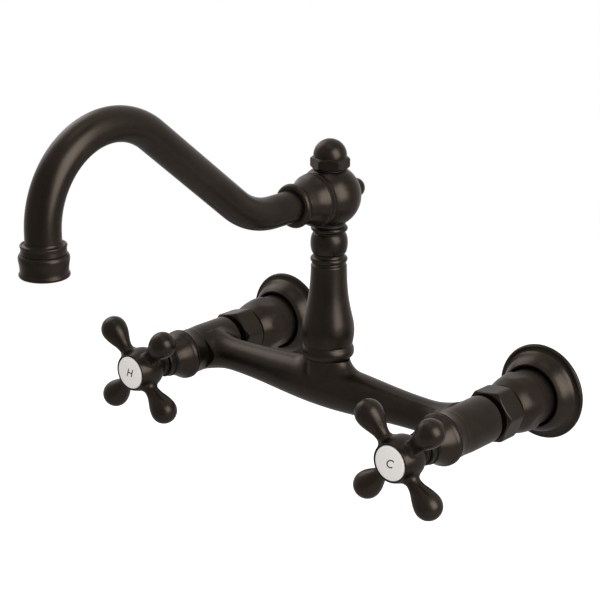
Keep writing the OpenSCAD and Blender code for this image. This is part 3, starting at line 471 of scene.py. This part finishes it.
ALUMINA = finish_of(
    "lapped_ceramic", (0.72, 0.67, 0.60), (0.80, 0.75, 0.68), (0.2, 0.3), bump=0.04)
WHITE_PLASTIC = finish_of(
    "white_plastic", (0.66, 0.66, 0.65), (0.73, 0.73, 0.72), (0.38, 0.5), bump=0.12)
# Black plastic for the washers: painted shade in the narrow gaps between parts where they show.
BLACK_PLASTIC_FOR_SHADE = finish_of(
    "black_plastic", (0.012, 0.012, 0.012), (0.02, 0.02, 0.02), (0.4, 0.52), bump=0.12)
INK = finish_of(
    "fired_ink", (0.02, 0.02, 0.022), (0.03, 0.03, 0.032), (0.2, 0.3), cloud=300.0, bump=0.05)


# ---- pieces on each valve ----

def wall_flange(side, name):
    profile = (
        [(26.6, 0.0), (28.4, 0.0, 0.3)] + arc(27.8, 1.3, 1.3, -50, 68)
        + [(28.15, 2.72, 0.1), (27.65, 2.68, 0.12)]
        + flowing([(27.2, 2.72), (26.2, 2.95), (25.2, 3.55), (24.35, 4.9), (23.55, 6.8),
                   (22.6, 8.8), (21.4, 10.7), (20.3, 12.0)])
        + [(19.55, 12.75, 0.3), (18.72, 12.8, 0.2), (18.52, 12.3), (18.5, 3.2, 0.5), (12.42, 3.2),
           (12.42, 1.6), (20.2, 1.6), (20.2, 9.4), (22.0, 5.2), (24.0, 2.2), (25.8, 1.6)])
    shell = turned(profile, on_valve(side), ring=True, steps=192)
    return piece(name, [shell], "faucet_body", [name], "bronze", BRONZE)


def inlet_connector(side, name, turn):
    stud = [(7.0, -15.0), (9.3, -15.0, 0.1), (10.46, -13.85, 0.1), (10.46, 0.3), (7.0, 0.3)]
    neck = [(7.0, 0.0), (12.4, 0.0, 0.2), (12.4, 3.35), (16.9, 3.4, 0.3), (16.9, 22.4), (7.0, 22.4)]
    hexagon = (
        [(7.0, 21.5), (16.9, 21.5, 0.2), (18.0, 22.5, 0.5)]
        + flowing([(18.0, 26.5), (17.75, 28.5), (17.4, 30.5), (17.0, 32.5), (16.5, 34.5),
                   (15.85, 36.5), (15.1, 38.5), (14.75, 39.5)])
        + [(14.55, 40.1, 0.2), (14.0, 40.5, 0.2), (7.0, 40.5)])
    union = [(7.0, 39.5), (13.15, 39.5), (13.15, 49.4, 0.2), (12.5, 50.0, 0.1), (7.0, 50.0)]
    place = on_valve(side)
    shells = [
        turned(stud, place, ring=True, step=0.22, steps=120,
               shape=thread(-14.6, 0.2, PIPE_PITCH, 0.95)),
        turned(neck, place, ring=True, steps=96),
        turned(hexagon, place, ring=True, step=0.4, steps=288, shape=six_flats(33.9, turn, 0.5)),
        turned(union, place, ring=True, step=0.25, steps=120,
               shape=thread(40.4, 49.8, PIPE_PITCH, 0.9)),
    ]
    return piece(name, shells, "faucet_body", [name], "bronze", BRONZE)


def union_nut(side, name, turn):
    profile = [
        (13.25, 41.45, 0.2), (14.4, 41.4, 0.25), (16.6, 43.0, 0.8), (16.6, 55.4, 0.8),
        (14.4, 57.0, 0.25), (9.7, 57.0, 0.15), (9.65, 54.1), (13.25, 54.1)]
    shell = turned(profile, on_valve(side), ring=True, step=0.4, steps=288,
                   shape=six_flats(29.6, turn, 0.8))
    return piece(name, [shell], "faucet_body", [name], "bronze", BRONZE)


def tailpiece(side, name):
    profile = [(6.5, 51.6), (12.9, 51.6, 0.2), (12.9, 54.0, 0.1), (9.6, 54.0, 0.1), (9.6, 60.5),
               (8.6, 60.5), (8.6, 69.5, 0.2), (6.5, 69.5)]
    shell = turned(profile, on_valve(side), ring=True, steps=96)
    return piece(name, [shell], "faucet_body", [name], "bronze", BRONZE)


def bonnet(side, name):
    profile = (
        [(12.2, 100.72), (14.9, 100.72, 0.25)]
        + flowing([(15.38, 101.15), (15.45, 101.9), (15.2, 102.8), (14.75, 103.7), (14.2, 104.5),
                   (13.5, 105.7), (12.7, 107.2), (11.95, 108.8), (11.35, 110.3), (10.85, 111.8),
                   (10.5, 113.0)])
        + [(10.35, 113.55, 0.15), (7.8, 113.6), (7.8, 112.1), (8.7, 112.0), (11.6, 106.2),
           (12.2, 104.0)])
    shell = turned(profile, on_valve(side), ring=True, steps=144)
    return piece(name, [shell], "faucet_body", [name], "bronze", BRONZE)


def ring_nut(side, name):
    profile = [
        (7.7, 113.62), (10.35, 113.62, 0.1), (10.48, 113.9, 0.1), (10.48, 114.35, 0.08),
        (10.2, 114.5, 0.06), (10.48, 114.65, 0.08), (10.48, 115.2, 0.1), (10.3, 115.38, 0.1),
        (9.8, 115.5, 0.1), (9.8, 118.8, 0.3), (9.45, 119.5, 0.2), (8.8, 119.8, 0.1), (4.6, 119.8),
        (4.6, 118.1), (7.7, 118.1)]
    shell = turned(profile, on_valve(side), ring=True, steps=128)
    # The ring nut's blacker bronze partly paints the shade that the handle's arms cast on it.
    return piece(name, [shell], "faucet_body", [name], "dark_bronze", BLACKER_BRONZE_FOR_SHADE)


HUB = [(8.05, 121.2), (8.0, 122.4), (8.35, 123.8), (9.55, 125.7), (10.85, 127.5), (11.95, 129.4),
       (12.75, 131.4), (13.15, 133.4), (13.3, 135.6), (13.3, 137.6), (13.15, 139.6),
       (12.75, 141.6), (12.2, 143.4), (11.65, 145.0)]
ARM = [(4.25, 6.0), (4.2, 11.0), (4.15, 13.5), (4.2, 15.5), (4.45, 17.5), (4.95, 19.3),
       (5.6, 21.0), (6.3, 22.7), (6.95, 24.4), (7.5, 26.1), (7.9, 27.9), (8.08, 29.3), (8.1, 30.1),
       (8.1, 31.5)]
ARM_PLANE, BULB_AT, BULB_R = 138.2, 30.1, 8.1
ARM_START = 3  # inside the hub
HANDLE_FILLET, HANDLE_VOXEL = 3.4, 0.62
HUB_BACK, HUB_FRONT = 122.0, 144.6
BUTTON_R, BUTTON_Z, BUTTON_CROWN = 10.2, 146.0, 0.5
LETTER_SIZE, LETTER_SLANT, LETTER_WEIGHT, LETTER_LIFT = 7.2, 0.28, 0.00006, 0.03
hub_radius, arm_radius = radius_along(HUB), radius_along(ARM)


def handle_form(p):
    """Distance to a hub with four arms, in the valve's own frame."""
    r = np.maximum(np.hypot(p[:, 0], p[:, 1]), 1e-6)
    radius, slope = hub_radius(p[:, 2])
    steep = np.hypot(1, slope)
    hub = np.maximum((r - radius + 0.006) / steep,
                     np.maximum(HUB_BACK - p[:, 2], p[:, 2] - HUB_FRONT))
    form = hub
    height = p[:, 2] - ARM_PLANE
    for k in range(4):
        a = math.radians(45 + 90 * k)
        u = p[:, 0] * math.cos(a) + p[:, 1] * math.sin(a)
        v = p[:, 1] * math.cos(a) - p[:, 0] * math.sin(a)
        out = np.maximum(np.hypot(v, height), 1e-6)
        radius, slope = arm_radius(u)
        rod = (out - radius) / np.hypot(1, slope)
        bulb = np.hypot(out, u - BULB_AT) - BULB_R
        arm = np.where(u > BULB_AT, bulb,
                       np.where(u > ARM_START, rod, np.hypot(rod, ARM_START - u)))
        lean = np.clip(v * v / (r * out), -1, 1)
        form = np.where(u > ARM_START,
                        np.minimum(form, fillet(hub, arm, lean, HANDLE_FILLET)), form)
    return form


def handle(side, name, body):
    hub = [(0, HUB_BACK), (7.5, HUB_BACK)] + HUB[2:-1] + [(11.4, HUB_FRONT), (0, HUB_FRONT)]
    rough = [turned(hub, Matrix.Identity(4), steps=48)]
    for k in range(4):
        arm = [(0, 4)] + ARM[:-1] + arc(0, BULB_AT, BULB_R, 0, 90, 8)[1:]
        lay = (Matrix.Translation((0, 0, ARM_PLANE * MM))
               @ Matrix.Rotation(math.radians(45 + 90 * k), 4, "Z")
               @ Matrix.Rotation(math.radians(90), 4, "Y"))
        rough.append(turned(arm, lay, steps=32))
    casting = cast(rough, HANDLE_VOXEL, handle_form)
    bmesh.ops.transform(casting, matrix=on_valve(side), verts=casting.verts)
    crisp = (
        [(4.4, 120.3), (8.3, 120.3, 0.25), (8.55, 120.75, 0.2), (8.3, 121.1, 0.15)] + flowing(HUB)
        + [(11.35, 145.75, 0.3), (10.85, 146.0, 0.2), (10.38, 145.8, 0.15), (10.3, 143.4),
           (6.2, 143.4), (6.2, 138.4), (2.2, 138.4), (2.2, 135.0), (4.4, 134.5)])
    shells = [settled(casting), turned(crisp, on_valve(side), ring=True, steps=160)]
    return piece(name, shells, body, [name], "bronze", BRONZE)


def button_crown(r):
    """Height of the index button's crown at a radius."""
    return BUTTON_Z + BUTTON_CROWN * (1 - (r / BUTTON_R) ** 2)


def index_button(side, name, letter, body):
    crown = [(r, button_crown(r)) for r in (9.3, 8.5, 7.5, 6.4, 5.2, 4.0, 2.8, 1.4, 0.0)]
    profile = [(0, 141.4), (6.1, 141.4, 0.2), (6.1, 143.4, 0.1), (10.15, 143.4, 0.3),
               (10.18, 145.4, 0.4), (9.9, 145.95, 0.4)] + crown
    shell = turned(profile, on_valve(side), steps=144)
    curve = bpy.data.curves.new(name + "_letter", "FONT")
    curve.body = letter
    curve.size = LETTER_SIZE * MM
    curve.shear = LETTER_SLANT
    curve.offset = LETTER_WEIGHT
    curve.align_x, curve.align_y = "CENTER", "CENTER"
    curve.resolution_u = 6
    written = bpy.data.objects.new("written", curve)
    bpy.context.scene.collection.objects.link(written)
    evaluated = written.evaluated_get(bpy.context.evaluated_depsgraph_get())
    mesh = bpy.data.meshes.new_from_object(evaluated)
    bpy.data.objects.remove(written)
    bpy.data.curves.remove(curve)
    ink = bmesh.new()
    ink.from_mesh(mesh)
    bpy.data.meshes.remove(mesh)
    bmesh.ops.remove_doubles(ink, verts=ink.verts, dist=1e-6)
    bmesh.ops.subdivide_edges(ink, edges=ink.edges, cuts=2, use_grid_fill=False)
    bmesh.ops.triangulate(ink, faces=ink.faces)
    for v in ink.verts:
        x, y = v.co.x / MM, v.co.y / MM
        v.co.z = (button_crown(math.hypot(x, y)) + LETTER_LIFT) * MM
    bm = settled(ink)
    if sum(f.normal.z for f in bm.faces) < 0:
        bmesh.ops.reverse_faces(bm, faces=bm.faces)
    bm.transform(on_valve(side))
    return piece(name, [(shell, 0), (bm, 1)], body, [name], "porcelain", PORCELAIN, INK)


for tag, side, hex_turn, nut_turn, letter in (("hot", -1, 49, 15, "H"), ("cold", 1, 5, 7, "C")):
    wall_flange(side, tag + "_wall_flange")
    inlet_connector(side, tag + "_inlet_connector", hex_turn)
    union_nut(side, tag + "_union_nut", nut_turn)
    tailpiece(side, tag + "_tailpiece")
    bonnet(side, tag + "_bonnet")
    ring_nut(side, tag + "_ring_nut")
    handle(side, tag + "_handle", tag + "_control")
    index_button(side, tag + "_index_button", letter, tag + "_control")


# ---- bridge body ----

BAR_TAPER = [(10 + 3.7 * math.cos(math.radians(90 * x / 74)) ** 2, x) for x in range(6, 73, 6)]
BAR = [(13.7, 0.0)] + BAR_TAPER + [
    (10.0, 75.0), (10.1, 78.0), (10.38, 81.5), (10.85, 84.5), (11.6, 88.0), (12.4, 91.0),
    (13.2, 94.0)]
BARREL = [(12.2, 60.6), (13.7, 61.3), (14.2, 62.6), (14.25, 65.0), (14.25, 80.0), (14.1, 84.0),
          (13.82, 88.0), (13.75, 92.0)]
BAR_END = 94
BARREL_BACK, BARREL_FRONT = 61.6, 94.0
FLARE_AT = 90.75  # in front of it each barrel is turned, not cast
BOSS_R, BOSS_TOP = 13.05, 18.28
BOSS_FILLET, BARREL_FILLET, BRIDGE_VOXEL = 11.5, 9.0, 0.85
bar_radius, barrel_radius = radius_along(BAR), radius_along(BARREL)


def bridge_form(p):
    """Distance to the filleted casting: bar, boss and the two valve barrels."""
    across = np.abs(p[:, 0])
    y, z = p[:, 1] - BAR_Y, p[:, 2]
    bar_r = np.maximum(np.hypot(y, z), 1e-6)
    radius, slope = bar_radius(np.minimum(across, BAR_END))
    bar = (bar_r - radius) / np.hypot(1, slope)
    bar = np.where(across > BAR_END, np.hypot(np.maximum(bar, 0), across - BAR_END), bar)
    boss_r = np.maximum(np.hypot(p[:, 0], y), 1e-6)
    boss = np.where(z > 0, boss_r - BOSS_R, np.hypot(boss_r, z) - BOSS_R)
    lean = np.clip(y * y / (bar_r * boss_r), -1, 1)
    form = np.where(z > 0, fillet(bar, boss, lean, BOSS_FILLET), bar)
    form = np.minimum(form, bar)
    valve_x = across - HALF_SPACING
    valve_r = np.maximum(np.hypot(valve_x, z), 1e-6)
    radius, slope = barrel_radius(-p[:, 1])
    barrel = (valve_r - radius + 0.008) / np.hypot(1, slope)
    barrel = np.maximum(barrel, np.maximum(BARREL_BACK + p[:, 1], -p[:, 1] - BARREL_FRONT))
    lean = np.clip(z * z / (bar_r * valve_r), -1, 1)
    return np.minimum(fillet(form, barrel, lean, BARREL_FILLET), np.minimum(form, barrel))


def bridge_body():
    across = Matrix.Translation((0, BAR_Y * MM, 0)) @ Matrix.Rotation(math.radians(90), 4, "Y")
    bar = [(r, -x) for r, x in BAR[:0:-1]] + BAR
    rough = [turned([(0, -BAR_END)] + bar + [(0, BAR_END)], across, steps=48),
             turned([(0, 0), (BOSS_R, 0), (BOSS_R, 24), (0, 24)], on_column(), steps=48)]
    core = [(0, BARREL_BACK), (14, BARREL_BACK)] + BARREL[3:-1] + [(13.7, BARREL_FRONT),
                                                                   (0, BARREL_FRONT)]
    for side in (-1, 1):
        rough.append(turned(core, on_valve(side), steps=48))
    casting = cast(rough, BRIDGE_VOXEL, bridge_form)
    sawn(casting, lambda c: abs(c.x) < 26 and c.z > 15.5, (0, 0, BOSS_TOP), (0, 0, 1))
    for side in (-1, 1):
        sawn(casting, lambda c: side * c.x > 62 and c.y < -88, (0, -FLARE_AT, 0), (0, -1, 0))
    shells = [settled(casting)]
    for side in (-1, 1):
        barrel = (
            [(8.65, 60.5), (12.7, 60.5, 0.4)] + arc(12.85, 61.9, 1.4, -75, 0, 8)
            + [(14.25, 68.0), (14.25, 74.0)]
            + flowing([(14.25, 80.0), (14.1, 84.0), (13.82, 88.0), (13.76, 90.3)])
            + [(13.76, 90.6, 0.4), (13.9, 91.0, 0.4), (13.93, 91.7, 0.4), (13.86, 92.1, 0.4)]
            + flowing([(13.88, 92.4), (13.95, 94.0), (14.25, 96.2), (14.75, 98.3), (15.35, 99.9)])
            + [(15.55, 100.3, 0.15), (15.3, 100.62, 0.15), (9.45, 100.62), (9.45, 73.0),
               (8.65, 73.0)])
        shells.append(turned(barrel, on_valve(side), ring=True, steps=160))
    return piece("bridge_body", shells, "faucet_body", ["bridge_body"], "bronze", BRONZE)


bridge_body()


# ---- column ----

def column():
    profile = (
        [(5.0, 18.3), (12.9, 18.3, 0.1)]
        + flowing([(13.05, 18.75), (14.2, 19.2), (15.1, 20.0), (15.62, 21.3), (15.75, 22.6),
                   (15.6, 24.0), (15.15, 25.3)])
        + [(14.6, 26.3, 0.2), (14.45, 26.9, 0.2), (14.75, 27.5, 0.2)]
        + flowing([(14.95, 28.0), (15.2, 29.6), (15.5, 31.8), (15.68, 34.0), (15.68, 36.0),
                   (15.45, 38.5), (15.1, 40.8), (14.5, 43.5), (13.8, 46.5), (13.15, 49.5),
                   (12.57, 52.5), (12.07, 55.5), (11.67, 58.5), (11.37, 61.5), (11.12, 64.5),
                   (10.92, 67.5), (10.78, 70.5), (10.66, 73.5), (10.6, 75.6)])
        + [(10.35, 76.1, 0.2), (9.75, 76.5, 0.2), (9.75, 77.1, 0.2)]
        + arc(8.98, 79.4, 1.95, -72, 72, 12)
        + [(9.3, 81.9, 0.2), (9.2, 82.6, 0.2), (9.55, 83.1, 0.2)]
        + flowing([(9.9, 83.5), (10.4, 84.7), (10.75, 86.2), (10.95, 87.8), (11.0, 89.2),
                   (10.92, 91.0), (10.62, 92.8), (10.15, 94.3)])
        + [(9.75, 95.1, 0.2), (9.3, 95.6, 0.2), (9.3, 96.4, 0.2)]
        + arc(9.25, 98.25, 1.6, -78, 78, 12)
        + [(9.6, 100.1, 0.1), (9.4, 100.3, 0.1), (5.0, 100.3)])
    shell = turned(profile, on_column(), ring=True, steps=176)
    return piece("column", [shell], "faucet_body", ["column"], "bronze", BRONZE)


def cap_nut():
    hexagon = [(5.05, 134.1, 0.1), (9.9, 134.1, 0.2), (11.75, 135.4, 0.5), (11.75, 139.9, 0.5),
               (9.9, 141.06, 0.3), (5.05, 141.1)]
    dome = [(0, 137.0), (9.75, 137.0), (9.8, 140.4)] + arc(0, 141.66, 9.79, 0, 90, 24)
    shells = [
        turned(hexagon, on_column(), ring=True, step=0.3, steps=240,
               shape=six_flats(20.6, 37, 0.6)),
        turned(dome, on_column(), steps=128)]
    return piece("cap_nut", shells, "faucet_body", ["cap_nut"], "bronze", BRONZE)


column()
cap_nut()


# ---- ball and spout ----

def spout_ball():
    globe = (
        arc(0, 0, 18.45, -90, 53.5, 44)[:-1]
        + [(14.95, 10.62, 2.2), (15.5, 12.2, 1.5), (15.5, 12.75, 0.15), (15.72, 13.05, 0.2),
           (15.75, 13.75, 0.25), (15.3, 14.15, 0.2), (14.9, 14.6), (0, 14.6)])
    ball = turned(globe, along_spout(), steps=192)
    sawn(ball, lambda c: c.z > 130, (0, BAR_Y, 133.56), (0, 0, 1))
    foot = (
        [(6.56, 100.92), (9.4, 100.92, 0.2), (9.6, 101.2, 0.1), (9.6, 101.9, 0.3)]
        + flowing([(9.75, 102.3), (10.2, 102.75), (10.9, 103.1), (11.8, 103.6)]) + [(6.56, 106.0)])
    shells = [settled(ball), turned(foot, on_column(), ring=True, steps=128)]
    return piece("spout_ball", shells, "spout", ["spout_ball"], "bronze", BRONZE)


def ball_plug():
    profile = (
        [(0, 15.0), (4.5, 15.0), (4.5, 19.4, 0.3), (5.2, 19.9, 0.3)]
        + flowing([(5.6, 20.6), (5.8, 21.8), (5.78, 23.6), (5.45, 25.2), (4.6, 26.6), (3.3, 27.5),
                   (1.7, 27.95), (0, 28.03)]))
    shell = turned([(p[0], -p[1], *p[2:]) for p in profile], along_spout(), steps=96)
    return piece("ball_plug", [shell], "spout", ["ball_plug"], "bronze", BRONZE)


def spout_cap():
    profile = (
        [(9.35, 28.98), (9.35, 20.0), (11.1, 14.75), (14.8, 14.75, 0.2)]
        + flowing([(15.3, 15.15), (15.42, 15.9), (15.2, 16.8), (14.75, 17.7), (14.2, 18.7),
                   (13.75, 19.7), (13.35, 20.8), (13.0, 21.9), (12.7, 23.0), (12.45, 24.2),
                   (12.2, 25.6), (11.95, 27.0), (11.75, 28.2)])
        + [(11.6, 28.98, 0.2)])
    shell = turned(profile, along_spout(), ring=True, steps=160)
    return piece("spout_cap", [shell], "spout", ["spout_cap"], "bronze", BRONZE)


def spout_collar():
    profile = [(9.35, 29.35)] + arc(10.4, 31.8, 2.49, -88, 88, 18) + [(9.35, 34.25)]
    shell = turned(profile, along_spout(), ring=True, steps=144)
    return piece("spout_collar", [shell], "spout", ["spout_collar"], "bronze", BRONZE)


TUBE_R, TUBE_START, TUBE_END_Z = 9.3, 20, 124.4
RISE_ANGLE, BEND_R, ARCH_R = 38.9, 49, 46
ARCH_OUT, ARCH_UP = 171.0, 24.8  # the arch's centre from the ball's


def spout_tube():
    """A ring of points drawn along the spout: low bend, rising straight, arch and drop."""
    rise = math.radians(RISE_ANGLE)
    arch = Vector((0, BAR_Y - ARCH_OUT, BALL_Z + ARCH_UP))
    arch_start = arch + Vector((0, ARCH_R * math.sin(rise), ARCH_R * math.cos(rise)))
    rise_start = BALL_Z + BEND_R * (1 - math.cos(rise))
    rise_length = (arch_start.z - rise_start) / math.sin(rise)
    bend_at = arch_start.y + rise_length * math.cos(rise) + BEND_R * math.sin(rise)
    bm = bmesh.new()
    start = (Matrix.Translation((0, (BAR_Y - TUBE_START) * MM, BALL_Z * MM))
             @ Matrix.Rotation(math.radians(90), 4, "X"))
    bmesh.ops.create_circle(bm, segments=96, radius=TUBE_R * MM, matrix=start)

    def ends():
        return [e for e in bm.edges if e.tag]

    def straight(offset):
        grown = bmesh.ops.extrude_edge_only(bm, edges=ends())["geom"]
        mark(grown)
        verts = [v for v in grown if isinstance(v, bmesh.types.BMVert)]
        bmesh.ops.translate(bm, vec=Vector(offset) * MM, verts=verts)

    def mark(geom):
        for e in bm.edges:
            e.tag = False
        for e in geom:
            if isinstance(e, bmesh.types.BMEdge):
                e.tag = True

    def bend(centre, angle, steps):
        edges = ends()
        verts = list({v for e in edges for v in e.verts})
        grown = bmesh.ops.spin(bm, geom=verts + edges, cent=Vector(centre) * MM, axis=(1, 0, 0),
                               angle=angle, steps=steps)["geom_last"]
        mark(grown)

    mark(list(bm.edges))
    straight((0, bend_at - (BAR_Y - TUBE_START), 0))
    bend((0, bend_at, BALL_Z + BEND_R), -rise, 28)
    straight((0, -rise_length * math.cos(rise), rise_length * math.sin(rise)))
    bend(arch, rise + math.pi / 2, 72)
    straight((0, 0, TUBE_END_Z - arch.z))
    bmesh.ops.holes_fill(bm, edges=[e for e in bm.edges if e.is_boundary], sides=0)
    shell = settled(bm)
    return piece("spout_tube", [shell], "spout", ["spout_tube"], "bronze", BRONZE)


def outlet_collar():
    profile = (
        [(9.35, 124.4), (10.9, 124.4), (10.9, 131.9, 0.1), (11.6, 131.9, 0.15), (11.55, 133.2),
         (11.45, 134.3), (11.47, 134.8, 0.4)]
        + arc(10.95, 135.9, 0.85, -35, 95, 8) + [(10.55, 136.62, 0.08), (10.42, 136.42, 0.06)]
        + flowing([(10.28, 136.46), (9.95, 136.58), (9.66, 136.84), (9.48, 137.2), (9.36, 137.7)])
        + [(9.35, 135.9)])
    shell = turned(profile, at_outlet(), ring=True, steps=144)
    return piece("outlet_collar", [shell], "spout", ["outlet_collar"], "bronze", BRONZE)


def outlet_shell():
    profile = (
        [(9.6, 120.1, 0.1), (9.9, 119.82, 0.15), (11.2, 119.8)]
        + arc(11.55, 121.15, 1.35, -88, 52, 10)
        + flowing([(12.32, 122.4), (12.25, 123.2), (12.25, 124.3), (12.35, 125.6), (12.55, 127.0),
                   (12.78, 128.3), (12.88, 129.4), (12.8, 130.4), (12.5, 131.1), (12.15, 131.6)])
        + [(11.9, 131.78, 0.1), (10.95, 131.8), (10.95, 123.4), (10.6, 123.4), (10.6, 121.1),
           (9.6, 121.1)])
    shell = turned(profile, at_outlet(), ring=True, steps=160)
    return piece("outlet_shell", [shell], "spout", ["outlet_shell"], "bronze", BRONZE)


spout_ball()
ball_plug()
spout_cap()
spout_collar()
spout_tube()
outlet_collar()
outlet_shell()


# ---- finishes of the inner pieces, which keep their CAD shape ----

# The washers' black plastic paints the shade in their gaps, and the ring nut's blacker bronze
# partly paints shade.
inner_finish = {
    "bare_brass": BRASS, "steel": STEEL, "rubber": RUBBER, "alumina": ALUMINA,
    "white_plastic": WHITE_PLASTIC, "black_plastic": BLACK_PLASTIC_FOR_SHADE, "bronze": BRONZE,
    "dark_bronze": BLACKER_BRONZE_FOR_SHADE, "porcelain": PORCELAIN}
for subpart in frame["record"]["subparts"]:
    for socket in frame["nodes"][subpart["node"]].material_slots:
        socket.material = inner_finish[subpart["material_slot"]]


# ---- studio ----

LAMP_AIM = (0, -0.1, 0.05)
LAMP_TINT = (0.96, 1.0, 1.05)
ROOM_LEVEL, LOW_LEVEL = 0.42, 0.34  # what metal sees of the room above and below the horizon
PHOTOGRAPHER_SHARE = 0.62  # of the room's level, where the photographer stands
FILL_LEVEL = 0.78  # the world's light on what isn't glossy
FLOOR_Z, FLOOR_HALF, FLOOR_COLOUR, FLOOR_LIFT = -0.34, 0.9, 0.45, 0.8


def softbox(name, azimuth, elevation, distance, width, height, level, roll=0.0):
    """A lamp of a plain level, seen from the object at an azimuth and elevation."""
    a, e = math.radians(azimuth), math.radians(elevation)
    away = Vector((math.sin(a) * math.cos(e), -math.cos(a) * math.cos(e), math.sin(e)))
    data = bpy.data.lights.new(name, "AREA")
    data.shape = "RECTANGLE"
    data.size, data.size_y = width, height
    data.energy = level * math.pi * width * height
    data.color = LAMP_TINT
    lamp = bpy.data.objects.new(name, data)
    bpy.context.scene.collection.objects.link(lamp)
    lamp.location = Vector(LAMP_AIM) + away * distance
    lamp.rotation_mode = "QUATERNION"
    lamp.rotation_quaternion = (away.to_track_quat("Z", "Y")
                                @ Quaternion((0, 0, 1), math.radians(roll)))


def mixed(tree, factor, a, b):
    node = tree.nodes.new("ShaderNodeMix")
    for label, value in (("Factor", factor), ("A", a), ("B", b)):
        feed(tree, node.inputs[label], value)
    return node.outputs["Result"]


def combined(tree, operation, a, b):
    node = tree.nodes.new("ShaderNodeMath")
    node.operation = operation
    tree.links.new(a, node.inputs[0])
    tree.links.new(b, node.inputs[1])
    return node.outputs["Value"]


def light_path(tree):
    """Two switches: seen by the camera or through glass, and seen in a gloss."""
    path = tree.nodes.new("ShaderNodeLightPath").outputs
    seen = combined(tree, "MAXIMUM", path["Is Camera Ray"], path["Is Transmission Ray"])
    return seen, path["Is Glossy Ray"]


def white_world():
    """White where the camera looks. Metal sees white behind the faucet and a dimmer room in
    front, dimmest where the photographer stands."""
    world = bpy.data.worlds.new("studio")
    bpy.context.scene.world = world
    world.use_nodes = True
    tree = world.node_tree
    direction = tree.nodes.new("ShaderNodeTexCoord").outputs["Generated"]

    def towards(x, y, z):
        node = tree.nodes.new("ShaderNodeVectorMath")
        node.operation = "DOT_PRODUCT"
        node.inputs[1].default_value = (x, y, z)
        tree.links.new(direction, node.inputs[0])
        return node.outputs["Value"]

    behind = ranged(tree, towards(-0.66, 0.75, 0.0), -0.1, 0.75)
    above = ranged(tree, towards(0, 0, 1), -0.2, 0.06)
    photographer = ranged(tree, towards(0.65, -0.74, 0.12), 0.72, 0.97, 1.0, PHOTOGRAPHER_SHARE)
    low = mixed(tree, behind, LOW_LEVEL, 1.0)
    room = mixed(tree, above, low, mixed(tree, behind, ROOM_LEVEL, 1.0))
    seen, glossy = light_path(tree)
    level = mixed(tree, glossy, FILL_LEVEL, combined(tree, "MULTIPLY", room, photographer))
    tree.links.new(mixed(tree, seen, level, 1.0), tree.nodes["Background"].inputs["Strength"])
    tree.nodes["Background"].inputs["Color"].default_value = (1, 1, 1, 1)


def pale_floor():
    """A plain floor far below that keeps the faucet's shadow and looks white to the camera."""
    bm = bmesh.new()
    bmesh.ops.create_grid(bm, x_segments=2, y_segments=2, size=FLOOR_HALF)
    floor = as_object("floor", settled(bm, Matrix.Translation((0, 0, FLOOR_Z))))
    material = bpy.data.materials.new("pale_floor")
    material.use_nodes = True
    tree = material.node_tree
    bsdf = tree.nodes["Principled BSDF"]
    bsdf.inputs["Base Color"].default_value = (*[FLOOR_COLOUR] * 3, 1)
    bsdf.inputs["Roughness"].default_value = 0.9
    bsdf.inputs["Specular IOR Level"].default_value = 0.1
    bsdf.inputs["Emission Color"].default_value = (1, 1, 1, 1)
    seen = light_path(tree)[0]
    tree.links.new(mixed(tree, seen, 0.0, FLOOR_LIFT), bsdf.inputs["Emission Strength"])
    floor.data.materials.append(material)


softbox("right", 87, 23, 1.25, 0.85, 1.15, 5.5, roll=14)
softbox("left", -97, 36, 1.3, 0.8, 0.95, 2.3)
softbox("top", 10, 82, 1.2, 0.5, 0.5, 1.0)
white_world()
pale_floor()
bpy.context.scene.view_settings.view_transform = "Standard"
